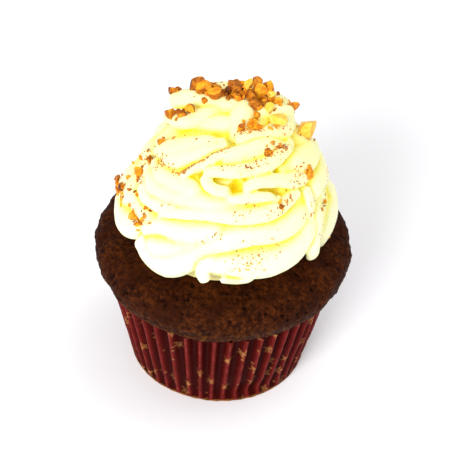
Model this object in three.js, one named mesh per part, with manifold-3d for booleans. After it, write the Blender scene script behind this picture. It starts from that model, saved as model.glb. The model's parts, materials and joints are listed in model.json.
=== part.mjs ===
/**
 * A cupcake: a chocolate cake in a pleated paper case, under a swirl of piped
 * cream topped with chopped nuts.
 *
 * Millimetres, +Z up. The origin is the centre of the case's flat base, and the
 * cupcake's front faces -Y. Places on the swirl are given as an azimuth, in
 * degrees round from the front with +X at 90, and a station, which runs from 0
 * at the foot of the swirl to 1 at its crown.
 */
import * as THREE from 'three';
import { mergeVertices } from 'three/addons/utils/BufferGeometryUtils.js';
import Module from 'manifold-3d';

const wasm = await Module();
wasm.setup();

// ---- Driving dimensions ----

const GAP = 0.3;

const PAPER = {
  pleats: 47,
  facesPerPleat: 4,
  baseRadius: 25.6,
  mouthRadius: 31.5,
  height: 30.8,
  wall: 0.7,
  pleatAtBase: 0.5,
  pleatAtMouth: 1.05,
};

const CAKE = {
  rimRadius: 36.9,
  rimHeight: 38.6,
  topHeight: 45.6,
  segments: 72,
  crag: 0.55,
  seed: 11,
};

/** Radius and height of the swirl's envelope, from its foot to its crown. */
const SWIRL_OUTLINE = [
  [26.5, 45], [31.2, 52.5], [28.6, 61.5], [24.8, 70.5], [18.4, 78.7], [9.5, 83.3], [0, 84.5],
];
const SWIRL_FOOT = SWIRL_OUTLINE[0][1];
const SWIRL_TOP = SWIRL_OUTLINE[SWIRL_OUTLINE.length - 1][1];
const SWIRL_LEAN = { x: 2.4, y: -1.0 };

/** How far the core lies inside the envelope: [station, depth]. */
const CORE_DEPTH = [
  [0, 3.2], [0.1, 3.2], [0.2, 2.4], [0.5, 2.4], [0.62, 3], [0.72, 3.6], [0.8, 4.2], [0.9, 5], [1, 5],
];

/** A fold's section, as shares of its half width, and how far it leans down over the next. */
const FOLD = { thickness: 0.9, breadth: 1.25, lean: 0.35, step: 6 };

/** The ends of a side fold sink into the swirl by so many half widths, over this share of it. */
const SINK = { ends: [0.7, 0.9], share: 0.25 };

/**
 * Folds that lie on the side of the swirl: knots are [azimuth, station, half width].
 * The lift moves a fold outward, and the sink is that of its two ends.
 */
const SIDE_FOLDS = [
  // The lowest round, from the left to the right.
  { knots: [[-99, 0.17, 1.9], [-86, 0.15, 2.8], [-67, 0.21, 3], [-47, 0.3, 1.8]], sink: [0.3, 0.9] },
  { knots: [[-106, 0.24, 1.4], [-74, 0.335, 1.7], [-56, 0.345, 1.7], [-42, 0.375, 1.2]] },
  { knots: [[-73, 0.45, 1.3], [-58, 0.43, 1.6], [-37, 0.43, 1.2]] },
  {
    knots: [
      [-48, 0.225, 2.1], [-36, 0.18, 4.2], [-22, 0.265, 4], [-8, 0.36, 3.1],
      [13, 0.412, 3.2], [33, 0.402, 3.1], [52, 0.416, 2.5], [66, 0.435, 1.8],
    ],
    lift: 0.3, sink: [0, 0.9],
  },
  {
    knots: [[-49, 0.3, 1.6], [-39, 0.365, 2.8], [-26, 0.38, 3.8], [-9, 0.405, 3.5], [5, 0.425, 2.2]],
    lift: 0.2, sink: [0, 0.9],
  },
  {
    knots: [[-47, 0.25, 2.2], [-39, 0.262, 3.1], [-29, 0.295, 3.4], [-18, 0.34, 3], [-7, 0.385, 2.4]],
    lift: 0.1, sink: [0.3, 0.9],
  },
  {
    knots: [
      [-7, 0.27, 2.2], [5, 0.27, 2.9], [21, 0.26, 3.8],
      [38, 0.282, 3.8], [51, 0.342, 3.1], [60, 0.42, 1.8],
    ],
    lift: 0.8, sink: [0, 0.9],
  },
  {
    knots: [[-1, 0.275, 1.9], [-8, 0.265, 1.7], [-10, 0.22, 1.6], [-8.5, 0.175, 1.3]],
    lift: 1, sink: [0.3, 0],
  },
  { knots: [[0.5, 0.12, 0.8], [9.5, 0.075, 1.1], [18.5, 0.117, 1.1]], lift: -1, sink: [0, 0.9] },
  { knots: [[56, 0.11, 1.5], [54, 0.22, 2], [59, 0.32, 2], [66, 0.39, 1.6]], lift: 0.2, sink: [0, 0.9] },
  { knots: [[70, 0.1, 2.8], [85, 0.16, 3], [97, 0.23, 2.4], [102, 0.35, 1.9]], sink: [0, 0.9] },
  { knots: [[48, 0.31, 0.9], [55, 0.4, 1.2], [61, 0.5, 1.2]] },
  // Where the lowest round rolls under, onto the cake.
  {
    knots: [[-106, 0.02, 2], [-92, 0.02, 2.4], [-74, 0.02, 2.4], [-58, 0.03, 1.9]],
    lift: -2.4, sink: [0, 0],
  },
  { knots: [[-50, 0.02, 2], [-40, 0.02, 2.3], [-28, 0.02, 2.2], [-17, 0.02, 1.7]], lift: -3, sink: [0, 0] },
  { knots: [[13, 0.02, 1.5], [24, 0.02, 2.1], [37, 0.02, 2.2], [50, 0.03, 1.8]], lift: -3, sink: [0, 0] },
  { knots: [[61, 0.03, 1.8], [74, 0.02, 2.3], [90, 0.02, 2.4]], lift: -2.4, sink: [0, 0] },
  // The middle round.
  {
    knots: [
      [-42.5, 0.383, 0.9], [-38, 0.437, 1.2], [-15, 0.495, 1.6],
      [7, 0.497, 1.9], [28, 0.498, 1.9], [50, 0.528, 1.5],
    ],
    lift: 0.4, sink: [0.9, 0.9],
  },
  { knots: [[-69, 0.41, 1.2], [-56, 0.425, 1.7], [-41, 0.46, 1.6], [-26, 0.5, 1.2]] },
  { knots: [[-78, 0.5, 1.9], [-58, 0.5, 2.8], [-36, 0.53, 3.3], [-13, 0.54, 2.3], [22, 0.555, 1.3]] },
  { knots: [[-74, 0.55, 1.6], [-51, 0.558, 2.3], [-35, 0.572, 2.3], [-16, 0.568, 1.1]], sink: [0.7, 1.2] },
  { knots: [[-4, 0.57, 1.1], [10, 0.575, 1.3], [24, 0.568, 1.1], [36, 0.545, 0.6]], sink: [0.7, 0.8] },
  {
    knots: [[11, 0.62, 1.2], [21, 0.635, 1.3], [36, 0.62, 1.6], [55, 0.58, 1.9], [72, 0.565, 1.9]],
    lift: 0.3, sink: [0.4, 0.9],
  },
  { knots: [[47, 0.65, 1.9], [73, 0.61, 3.2], [99, 0.565, 2.9], [114, 0.545, 2.1]] },
  { knots: [[62, 0.45, 1.6], [79, 0.475, 2.1], [103, 0.45, 2.1]] },
  // The curl at the front, and its tail.
  {
    knots: [[-3, 0.6, 1.2], [-14, 0.605, 1.25], [-21, 0.635, 1.2], [-18, 0.676, 1.3], [8, 0.698, 1.7]],
    lift: 0.5, sink: [0.5, 0],
  },
  { knots: [[5, 0.7, 1.7], [31, 0.71, 1.9], [53, 0.72, 1.6], [77, 0.725, 1.3]], lift: 0.4, sink: [0, 0.9] },
  // The upper round.
  { knots: [[-72, 0.6, 1.9], [-59, 0.65, 2.7], [-42, 0.74, 2.1], [-20, 0.83, 1.2]] },
  { knots: [[-132, 0.4, 2.6], [-112, 0.44, 2.8], [-96, 0.48, 2.6], [-84, 0.51, 2]], lift: -1.2 },
  { knots: [[-84, 0.58, 1.6], [-74, 0.63, 2.6], [-62, 0.7, 3.3], [-46, 0.785, 2.6], [-24, 0.84, 1.3]] },
  {
    knots: [[-41, 0.61, 0.8], [-31, 0.68, 1.1], [-12, 0.77, 1.2], [29, 0.81, 1.3], [69, 0.795, 1.3]],
    lift: 0.3,
  },
  { knots: [[-18, 0.72, 0.9], [-3, 0.765, 2], [39, 0.79, 2.4], [84, 0.735, 1.9]], sink: [2, 0.9] },
];

/** Folds that lie on the crown: knots are [x, y, z, half width]. */
const CROWN_FOLDS = [
  [[-17.2, 2.6, 80.2, 0.7], [-12.4, 1.3, 80, 2.3], [-7.1, 2.4, 80.5, 2.6], [-1.9, 5.5, 81.5, 2.4]],
  [[-14.3, 8.3, 81.6, 2.2], [-10.5, 8.5, 82.1, 2.7], [-5, 7.5, 82.4, 2.7], [1, 5, 82.2, 2.6]],
  [[2.6, -5, 79.6, 1.6], [3, -1.5, 81, 2.6], [3.4, 2.5, 82, 2.9], [5, 7, 82, 2.6]],
  [[4, -5.5, 79.8, 2.6], [10, -4.5, 80, 2.8], [14.5, 1, 80, 2.8], [13.5, 8, 80, 2.8]],
  [[14, 8.6, 80.8, 2.8], [7, 12.4, 81.9, 2.8], [-3, 12.8, 81.8, 2.7], [-10, 10.8, 80.9, 2.4]],
  [[9, 4.2, 82.4, 1.9], [12.5, 4.8, 82.6, 2], [16, 5.3, 81.8, 1.8]],
  [[-7.5, 1.5, 79.6, 2.4], [-3.5, 0.8, 80, 2.6], [0.5, 0, 80.6, 2.6]],
  [[5.5, -0.5, 79, 2.2], [8, 2, 79.6, 2.6], [9.5, 6, 80, 2.4]],
];

/** Rounds of like folds on the back, each fold climbing from one station to the next. */
const BACK_ROUNDS = [
  { from: 88, to: 262, folds: 4, low: 0.08, high: 0.38, half: 5.1 },
  { from: 80, to: 222, folds: 4, low: 0.36, high: 0.53, half: 4.2, lift: -0.4 },
  { from: 75, to: 228, folds: 4, low: 0.55, high: 0.77, half: 3.8, lift: -1.2 },
];
const BACK_FOLD_OVERLAP = 1.8;
const BACK_FOLD_SWELL = [[0, 0.5], [0.35, 1.1], [0.7, 0.95], [1, 0.6]];

/** Chopped nuts on the side of the swirl: [azimuth, station, size]. */
const SIDE_NUTS = [
  [-82, 0.63, 2.1], [65, 0.58, 3.2], [-100, 0.22, 3.2], [-82, 0.32, 2.1], [-81, 0.53, 2.4],
  [-81, 0.43, 2.9], [-59, 0.32, 3.4], [-56, 0.3, 2.4],
];

/** Chopped nuts that lie on the crown: [x, y, size], and for a shard how tall it stands. */
const CROWN_NUTS = [
  [-8.1, 11, 4.9, 1.1], [-6.8, 8.7, 3.6], [-3.9, 10.6, 3.3, 1.2], [-4.6, 6.9, 3.7], [-2.2, 7.1, 2.7],
  [-0.6, 10.1, 3.1], [1.8, 11.3, 3.6], [3.4, 8.9, 2.8], [0.8, 8.6, 2.6], [4.4, 11.3, 3.2, 1.8],
  [5.2, 8.4, 2.9], [7.4, 12.8, 3.9, 1.6], [8, 9.3, 3.9], [10.6, 12.4, 3.2, 1.3], [10.4, 9.9, 2.9],
  [6.3, 6.2, 3.1], [7.6, 3.6, 3.4], [9.2, 6.8, 2.8], [11.3, 7.3, 3], [13.3, 6.3, 3.2],
  [2.2, 6.6, 2.4], [11.6, 9.2, 2.4],
  [17.1, 7.2, 3], [20.8, 3.3, 5.2], [13, -2, 4], [10.8, 2.2, 3], [5.9, -2.2, 2.6],
  [3.7, -3.7, 2.1], [8.2, -3.4, 2.1], [-15.2, 2.1, 3.4], [-12.8, 1.2, 3.2], [-10.3, 1.4, 2.9],
  [-15.4, 9.8, 2.3],
];
const BACK_NUTS = { count: 12, from: 118, to: 222, low: 0.2, high: 0.66, small: 2.2, large: 3.6 };
const NUT = { stretch: [1.15, 0.9, 0.78], jitter: 0.18, proud: 0.16, crownProud: 0.36, seed: 7 };

// ---- Helpers ----

const degrees = THREE.MathUtils.degToRad;

function seeded(seed) {
  let state = seed;
  return () => {
    state = (state * 16807) % 2147483647;
    return state / 2147483647;
  };
}

/** A smooth curve through evenly spaced knots, at t from 0 to 1. */
function alongKnots(knots, t) {
  const last = knots.length - 1;
  const i = Math.min(Math.floor(t * last), last - 1);
  const s = t * last - i;
  const slope = (k, c) => {
    const a = Math.max(k - 1, 0);
    const b = Math.min(k + 1, last);
    return (knots[b][c] - knots[a][c]) / (b - a);
  };
  return knots[i].map((start, c) => {
    const end = knots[i + 1][c];
    return (2 * s ** 3 - 3 * s ** 2 + 1) * start + (s ** 3 - 2 * s ** 2 + s) * slope(i, c)
      + (-2 * s ** 3 + 3 * s ** 2) * end + (s ** 3 - s ** 2) * slope(i + 1, c);
  });
}

/** Straight-line lookup in rows of [place, value]. */
function lookUp(rows, place) {
  const i = Math.max(1, rows.findIndex(([at]) => at >= place));
  const [a, low] = rows[i - 1];
  const [b, high] = rows[i];
  return THREE.MathUtils.mapLinear(place, a, b, low, high);
}

/** A solid of revolution round Z, from rows of [radius, height] that start and end on the axis. */
function turned(outline, segments) {
  const points = outline.map(([radius, height]) => new THREE.Vector2(radius, height));
  return new THREE.LatheGeometry(points, segments).rotateX(Math.PI / 2);
}

/** Moves each vertex of a geometry by a function that changes the vector it is given. */
function reshape(geometry, change) {
  const position = geometry.attributes.position;
  const point = new THREE.Vector3();
  for (let i = 0; i < position.count; i += 1) {
    point.fromBufferAttribute(position, i);
    change(point, i);
    position.setXYZ(i, point.x, point.y, point.z);
  }
  return geometry;
}

function welded(geometry) {
  const bare = geometry.clone();
  bare.deleteAttribute('normal');
  bare.deleteAttribute('uv');
  return mergeVertices(bare, 1e-4);
}

function toSolid(geometry) {
  const shell = welded(geometry);
  return new wasm.Manifold(new wasm.Mesh({
    numProp: 3,
    vertProperties: new Float32Array(shell.attributes.position.array),
    triVerts: new Uint32Array(shell.index.array),
  }));
}

function toGeometry(solid) {
  const mesh = solid.getMesh();
  const geometry = new THREE.BufferGeometry();
  geometry.setAttribute('position', new THREE.BufferAttribute(mesh.vertProperties, 3));
  geometry.setIndex(new THREE.BufferAttribute(mesh.triVerts, 1));
  return geometry;
}

/** The largest shell of a joined solid: loose scraps go, and sealed hollows are filled. */
function largestShell(solid) {
  const shells = solid.decompose();
  return shells.reduce((best, shell) => (shell.volume() > best.volume() ? shell : best));
}

function finished(name, geometry, color, roughness) {
  geometry.computeVertexNormals();
  const material = new THREE.MeshStandardMaterial({ color, roughness, metalness: 0 });
  const mesh = new THREE.Mesh(geometry, material);
  mesh.name = name;
  return mesh;
}

// ---- Paper case ----

/** Distance of a pleated wall from its mean radius: 1 on a ridge and -1 in a groove. */
function pleatWave(angle) {
  const turn = (angle * PAPER.pleats) / (2 * Math.PI);
  return 1 - 4 * Math.abs(turn - Math.round(turn));
}

function paperRadius(height) {
  return THREE.MathUtils.mapLinear(height, 0, PAPER.height, PAPER.baseRadius, PAPER.mouthRadius);
}

function pleatDepth(height) {
  return THREE.MathUtils.mapLinear(height, 0, PAPER.height, PAPER.pleatAtBase, PAPER.pleatAtMouth);
}

function makePaperCase() {
  const outer = (height) => [paperRadius(height), height];
  const inner = (height) => [paperRadius(height) - PAPER.wall, height];
  const outline = [
    [0, 0], outer(0), outer(PAPER.height),
    inner(PAPER.height), inner(PAPER.wall), [0, PAPER.wall],
  ];
  const geometry = turned(outline, PAPER.pleats * PAPER.facesPerPleat);
  reshape(geometry, (point) => {
    const radius = Math.hypot(point.x, point.y);
    if (radius < 1) return;
    const pleated = radius + pleatWave(Math.atan2(point.y, point.x)) * pleatDepth(point.z);
    point.multiply(new THREE.Vector3(pleated / radius, pleated / radius, 1));
  });
  return finished('paper_case', welded(geometry), 0x4f1c15, 0.6);
}

// ---- Cake ----

/** Unevenness of the baked crust, from -1 to 1, as a sum of seeded waves. */
function makeCrag() {
  const random = seeded(CAKE.seed);
  const waves = [3, 5, 9, 14, 19, 27].map((turns) => ({
    turns,
    rise: (random() - 0.5) * 0.5,
    phase: random() * 2 * Math.PI,
  }));
  return (angle, height) => waves.reduce(
    (sum, { turns, rise, phase }) => sum + Math.sin(turns * angle + rise * height * 2 + phase),
    0,
  ) / waves.length;
}

/** The cake, grown by a margin on all sides that show. */
function makeCakeGeometry(margin) {
  const inCase = (height) => paperRadius(height) - PAPER.wall - pleatDepth(height) - GAP - 0.2;
  const floor = PAPER.wall + GAP;
  const lip = PAPER.height + GAP + 0.05;
  const outline = [
    [0, floor], [inCase(floor), floor], [inCase(PAPER.height), PAPER.height],
    [inCase(PAPER.height) + 0.2, lip], [PAPER.mouthRadius + 0.9, lip + 0.1], [34.5, 33.1], [36.2, 35.9],
    [CAKE.rimRadius, CAKE.rimHeight], [36.5, 40.7], [35, 42.4], [32.2, 43.7],
    [28, 44.6], [22, 45.2], [0, CAKE.topHeight],
  ];
  const crag = makeCrag();
  const geometry = turned(outline, CAKE.segments);
  return reshape(geometry, (point) => {
    const radius = Math.hypot(point.x, point.y);
    const shows = THREE.MathUtils.smoothstep(point.z, 31, 36) * THREE.MathUtils.smoothstep(radius, 20, 30);
    const angle = Math.atan2(point.y, point.x);
    const swell = (shows * CAKE.crag * crag(angle, point.z) + margin) / Math.max(radius, 1);
    point.x *= 1 + swell;
    point.y *= 1 + swell;
    point.z += margin + shows * CAKE.crag * 0.6 * crag(angle + 1, point.z);
  });
}

// ---- Cream ----

/** The point of the swirl's envelope at an azimuth and station, and the way out of it there. */
function onSwirl(azimuth, station) {
  const step = 0.01;
  const place = THREE.MathUtils.clamp(station, 0, 1);
  const [radius, height] = alongKnots(SWIRL_OUTLINE, place);
  const [lowRadius, lowHeight] = alongKnots(SWIRL_OUTLINE, Math.max(place - step, 0));
  const [highRadius, highHeight] = alongKnots(SWIRL_OUTLINE, Math.min(place + step, 1));
  const sine = Math.sin(degrees(azimuth));
  const cosine = Math.cos(degrees(azimuth));
  const rise = highHeight - lowHeight;
  const out = new THREE.Vector3(rise * sine, -rise * cosine, lowRadius - highRadius).normalize();
  return { point: leaning(new THREE.Vector3(radius * sine, -radius * cosine, height)), out };
}

/** The swirl's axis leans: a point is moved aside by its height. */
function leaning(point) {
  const share = (point.z - SWIRL_FOOT) / (SWIRL_TOP - SWIRL_FOOT);
  point.x += SWIRL_LEAN.x * share;
  point.y += SWIRL_LEAN.y * share;
  return point;
}

/**
 * A fold of cream: a ball drawn out along a route. The route gives, at t from 0
 * to 1, the centre, the way out of the swirl and the half width.
 */
function makeFold(route) {
  const centreAt = (t) => route(t).centre;
  let length = 0;
  for (let i = 0; i < 16; i += 1) length += centreAt(i / 16).distanceTo(centreAt((i + 1) / 16));
  const rings = Math.max(6, Math.round(length / FOLD.step) + 3);
  const sides = route(0.5).half < 1.5 ? 6 : 8;
  const startHalf = route(0).half;
  const total = length + startHalf + route(1).half;
  const geometry = new THREE.SphereGeometry(1, sides, rings);
  return reshape(geometry, (point, index) => {
    const ring = Math.floor(index / (sides + 1));
    const turn = ((index % (sides + 1)) / sides) * 2 * Math.PI;
    const way = (ring / rings) * total;
    const t = THREE.MathUtils.clamp((way - startHalf) / length, 0, 1);
    const { centre, out, half } = route(t);
    const along = centreAt(Math.min(t + 0.02, 1)).sub(centreAt(Math.max(t - 0.02, 0))).normalize();
    const across = new THREE.Vector3().crossVectors(along, out).normalize();
    const outward = new THREE.Vector3().crossVectors(across, along);
    const end = Math.min(1, Math.min(way, total - way) / half);
    const width = half * Math.sqrt(end * (2 - end));
    const rise = -Math.cos(turn) * width * FOLD.thickness;
    point.copy(centre)
      .addScaledVector(along, way - startHalf - t * length)
      .addScaledVector(outward, rise)
      .addScaledVector(across, Math.sin(turn) * width * FOLD.breadth - FOLD.lean * across.z * rise);
  });
}

function makeSideFold({ knots, lift = 0, sink = SINK.ends }) {
  const { smoothstep } = THREE.MathUtils;
  return makeFold((t) => {
    const [azimuth, station, half] = alongKnots(knots, t);
    const { point, out } = onSwirl(azimuth, station);
    const sunk = sink[0] * smoothstep(SINK.share - t, 0, SINK.share)
      + sink[1] * smoothstep(t, 1 - SINK.share, 1);
    return { centre: point.addScaledVector(out, lift - half * (1 + sunk)), out, half };
  });
}

function makeCrownFold(knots) {
  return makeFold((t) => {
    const [x, y, z, half] = alongKnots(knots, t);
    return { centre: new THREE.Vector3(x, y, z), out: new THREE.Vector3(0, 0, 1), half };
  });
}

function makeBackFolds({ from, to, folds, low, high, half, lift = 0 }) {
  const pitch = (to - from) / folds;
  return Array.from({ length: folds }, (_, i) => makeSideFold({
    knots: BACK_FOLD_SWELL.map(([share, swell]) => [
      from + pitch * (i + BACK_FOLD_OVERLAP * share),
      THREE.MathUtils.lerp(low, high, share ** 0.8),
      half * swell,
    ]),
    lift,
  }));
}

function makeCore() {
  const rows = 11;
  const outline = [[0, SWIRL_FOOT - 1]];
  for (let i = 0; i < rows; i += 1) {
    const station = i / rows;
    const depth = lookUp(CORE_DEPTH, station);
    const { point, out } = onSwirl(90, station);
    const share = (point.z - SWIRL_FOOT) / (SWIRL_TOP - SWIRL_FOOT);
    outline.push([point.x - SWIRL_LEAN.x * share - out.x * depth, point.z - out.z * depth]);
  }
  outline.push([0, SWIRL_TOP - lookUp(CORE_DEPTH, 1)]);
  return reshape(turned(outline, 24), leaning);
}

/** An angular chip of nut, with its vertices moved about at random. */
function makeNut({ size, tall = 1 }, random) {
  const nut = reshape(welded(new THREE.IcosahedronGeometry(size / 2)), (point) => {
    const jitter = () => 1 + (random() - 0.5) * 2 * NUT.jitter;
    point.multiply(new THREE.Vector3(jitter(), jitter(), jitter()));
  });
  nut.scale(...NUT.stretch);
  nut.rotateX(random() * Math.PI).rotateY(random() * Math.PI).rotateZ(random() * Math.PI);
  nut.scale(1, 1, tall);
  return nut;
}

/** Where a line into the swirl at an azimuth and station meets the cream. */
function creamSurface(cream, azimuth, station) {
  const reach = 12;
  const { point, out } = onSwirl(azimuth, station);
  const origin = point.clone().addScaledVector(out, reach);
  const ray = new THREE.Raycaster(origin, out.clone().negate(), 0, 2 * reach);
  const [hit] = ray.intersectObject(cream);
  return { point: hit ? hit.point : point, out };
}

/** The centre and size of each nut: on the crown, on the side, and strewn over the back. */
function nutPlaces(cream, random) {
  const { count, from, to, low, high, small, large } = BACK_NUTS;
  const strewn = Array.from({ length: count }, (_, i) => [
    THREE.MathUtils.lerp(from, to, (i + random()) / count),
    THREE.MathUtils.lerp(low, high, random()),
    THREE.MathUtils.lerp(small, large, random()),
  ]);
  const crown = CROWN_NUTS.map(([x, y, size, tall]) => {
    const above = new THREE.Vector3(x, y, 2 * SWIRL_TOP);
    const [hit] = new THREE.Raycaster(above, new THREE.Vector3(0, 0, -1)).intersectObject(cream);
    return { centre: hit.point.add(new THREE.Vector3(0, 0, size * NUT.crownProud)), size, tall };
  });
  const sides = [...SIDE_NUTS, ...strewn].map(([azimuth, station, size]) => {
    const { point, out } = creamSurface(cream, azimuth, station);
    return { centre: point.addScaledVector(out, size * NUT.proud), size };
  });
  return [...crown, ...sides];
}

function makeCream() {
  const folds = [
    makeCore(),
    ...SIDE_FOLDS.map(makeSideFold),
    ...CROWN_FOLDS.map(makeCrownFold),
    ...BACK_ROUNDS.flatMap(makeBackFolds),
  ];
  const bed = toSolid(makeCakeGeometry(GAP));
  const piped = wasm.Manifold.union(folds.map(toSolid)).subtract(bed);
  const bare = new THREE.Mesh(toGeometry(piped));
  const random = seeded(NUT.seed);
  const nuts = nutPlaces(bare, random).map(
    ({ centre, ...nut }) => toSolid(makeNut(nut, random).translate(centre.x, centre.y, centre.z)),
  );
  const topped = wasm.Manifold.union([piped, ...nuts]);
  return finished('cream', toGeometry(largestShell(topped)), 0xfdf8dc, 0.45);
}

// ---- The cupcake ----

const cupcake = new THREE.Group();
cupcake.add(makePaperCase());
cupcake.add(finished('cake', welded(makeCakeGeometry(0)), 0x3c1a0c, 0.85));
cupcake.add(makeCream());

export default cupcake;
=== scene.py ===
"""A chocolate cupcake in a pleated paper case, under piped cream with chopped nuts.

Sizes are in millimetres, +Z is up and the cupcake's front faces -Y. A place on
the swirl of cream is an azimuth, in degrees round from the front with +X at 90,
and a station, from 0 at the foot of the swirl to 1 at its crown.
"""

import json
import logging
import math
import random
from collections.abc import Callable, Sequence
from dataclasses import dataclass, field
from enum import Enum

import bmesh
import bpy
import numpy as np
from mathutils import Euler, Matrix, Vector, noise
from mathutils.bvhtree import BVHTree
from mathutils.kdtree import KDTree

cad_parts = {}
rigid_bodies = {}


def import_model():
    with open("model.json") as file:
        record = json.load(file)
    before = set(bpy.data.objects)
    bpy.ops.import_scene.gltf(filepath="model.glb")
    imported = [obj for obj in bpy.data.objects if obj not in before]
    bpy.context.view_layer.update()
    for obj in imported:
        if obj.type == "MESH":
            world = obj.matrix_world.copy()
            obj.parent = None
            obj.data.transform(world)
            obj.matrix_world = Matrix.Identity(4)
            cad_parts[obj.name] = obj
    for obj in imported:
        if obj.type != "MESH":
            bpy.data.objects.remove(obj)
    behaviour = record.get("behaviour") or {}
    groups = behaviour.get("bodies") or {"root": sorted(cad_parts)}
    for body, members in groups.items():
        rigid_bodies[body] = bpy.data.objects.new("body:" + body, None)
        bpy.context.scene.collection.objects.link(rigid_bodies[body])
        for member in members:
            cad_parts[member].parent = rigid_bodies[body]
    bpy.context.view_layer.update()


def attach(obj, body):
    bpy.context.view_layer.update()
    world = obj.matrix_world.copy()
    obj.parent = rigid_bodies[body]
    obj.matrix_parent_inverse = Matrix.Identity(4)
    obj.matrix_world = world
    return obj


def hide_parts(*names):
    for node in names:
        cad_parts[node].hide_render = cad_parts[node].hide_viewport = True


MM = 0.001
log = logging.getLogger("cupcake")

Rows = tuple[tuple[float, ...], ...]
Socket = bpy.types.NodeSocket
Piece = bpy.types.Object
Colour = tuple[float, float, float, float]


# ---------------------------------------------------------------- numbers


def smooth_step(low: float, high: float, value: np.ndarray | float) -> np.ndarray | float:
    """A smooth rise from 0 at low to 1 at high.

    Args:
        low: where the rise starts.
        high: where it ends; it may be below low for a fall.
        value: the place, or an array of places.

    Returns:
        The share, from 0 to 1.
    """
    share = np.clip((value - low) / (high - low), 0, 1)
    return share * share * (3 - 2 * share)


def along_knots(knots: Sequence[Sequence[float]], t: float) -> list[float]:
    """A smooth curve through evenly spaced knots.

    Args:
        knots: rows of equal length.
        t: the place along them, from 0 to 1.

    Returns:
        The row at that place.
    """
    last = len(knots) - 1
    i = min(int(t * last), last - 1)
    s = t * last - i

    def slope(k: int, c: int) -> float:
        """The slope of column c at knot k."""
        a, b = max(k - 1, 0), min(k + 1, last)
        return (knots[b][c] - knots[a][c]) / (b - a)

    return [
        (2 * s**3 - 3 * s**2 + 1) * start
        + (s**3 - 2 * s**2 + s) * slope(i, c)
        + (-2 * s**3 + 3 * s**2) * knots[i + 1][c]
        + (s**3 - s**2) * slope(i + 1, c)
        for c, start in enumerate(knots[i])
    ]


def look_up(rows: Rows, place: float) -> float:
    """The value at a place in rows of (place, value), on straight lines between them."""
    return float(np.interp(place, [row[0] for row in rows], [row[1] for row in rows]))


# ---------------------------------------------------------------- modelling


def deselect_all() -> None:
    """Leaves nothing selected, so that an operator acts on the new piece alone."""
    for other in bpy.context.selected_objects:
        other.select_set(False)


def take_up(piece: Piece) -> None:
    """Makes a piece the only one selected, and the active one.

    Args:
        piece: the piece.
    """
    deselect_all()
    piece.select_set(True)
    bpy.context.view_layer.objects.active = piece


def apply_modifier(piece: Piece, kind: str, **settings: object) -> None:
    """Adds a modifier to a piece and applies it.

    Args:
        piece: the piece.
        kind: the modifier's type.
        settings: its properties.
    """
    take_up(piece)
    modifier = piece.modifiers.new(kind.lower(), kind)
    for name, value in settings.items():
        setattr(modifier, name, value)
    bpy.ops.object.modifier_apply(modifier=modifier.name)


def points_of(piece: Piece) -> np.ndarray:
    """The vertices of a piece in millimetres, one row each.

    Args:
        piece: the piece.

    Returns:
        Their places.
    """
    flat = np.empty(len(piece.data.vertices) * 3, np.float32)
    piece.data.vertices.foreach_get("co", flat)
    return flat.reshape(-1, 3).astype(float) / MM


def move_points(piece: Piece, points: np.ndarray) -> None:
    """Puts the vertices of a piece at these places, in millimetres."""
    piece.data.vertices.foreach_set("co", (points * MM).astype(np.float32).ravel())
    piece.data.update()


def normals_of(piece: Piece) -> np.ndarray:
    """The normals of a piece at its vertices, one row each.

    Args:
        piece: the piece.

    Returns:
        Their normals.
    """
    flat = np.empty(len(piece.data.vertices) * 3, np.float32)
    piece.data.vertex_normals.foreach_get("vector", flat)
    return flat.reshape(-1, 3).astype(float)


def store(piece: Piece, name: str, values: np.ndarray) -> None:
    """Keeps a number for each vertex of a piece, for its material to read."""
    attribute = piece.data.attributes.new(name, "FLOAT", "POINT")
    attribute.data.foreach_set("value", values.astype(np.float32))


def smooth_shaded(piece: Piece, angle: float = 180.0) -> None:
    """Shades a piece smooth over edges flatter than an angle in degrees."""
    take_up(piece)
    bpy.ops.object.shade_smooth_by_angle(angle=math.radians(angle))


def evened(piece: Piece, values: np.ndarray, rounds: int) -> np.ndarray:
    """Evens out rows of numbers over a mesh, each towards the mean of its neighbours.

    Args:
        piece: the mesh piece.
        values: one row for each vertex.
        rounds: how often it is done.

    Returns:
        The evened rows.
    """
    ends = np.empty(len(piece.data.edges) * 2, np.int32)
    piece.data.edges.foreach_get("vertices", ends)
    a, b = ends.reshape(-1, 2).T
    count = len(values)
    degree = np.maximum(np.bincount(ends, minlength=count), 1)
    rows = values.reshape(count, -1).astype(float)
    for _ in range(rounds):
        rows = np.stack([
            (np.bincount(a, column[b], count) + np.bincount(b, column[a], count)) / degree
            for column in rows.T
        ], axis=1)
    return rows.reshape(values.shape)


def hollowness(piece: Piece, rounds: int) -> np.ndarray:
    """How far each vertex lies below its evened surroundings, in millimetres."""
    points = points_of(piece)
    return ((evened(piece, points, rounds) - points) * normals_of(piece)).sum(axis=1)


def noise_at(points: np.ndarray, size: float, seed: float = 0.0) -> np.ndarray:
    """Smooth noise, from about -1 to 1, whose waves are of a given size.

    Args:
        points: places in millimetres, one row each.
        size: the size of a wave in millimetres.
        seed: moves the pattern, so that two calls differ.

    Returns:
        One number for each place.
    """
    shift = Vector((seed, seed * 1.7, seed * 2.3))
    return np.array([noise.noise(Vector(point) / size + shift) for point in points])


@dataclass(frozen=True)
class Wave:
    """Smooth unevenness: how much of it, and how many millimetres across its waves are."""

    amount: float
    size: float
    seed: float = 0.0

    def at(self, points: np.ndarray) -> np.ndarray:
        """The unevenness at each place."""
        return self.amount * noise_at(points, self.size, self.seed)


def cells_at(points: np.ndarray, size: float) -> np.ndarray:
    """How far each place is from the middle of its cell, from 0 to about 1."""
    return np.array([noise.voronoi(Vector(point) / size)[0][0] for point in points])


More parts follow.
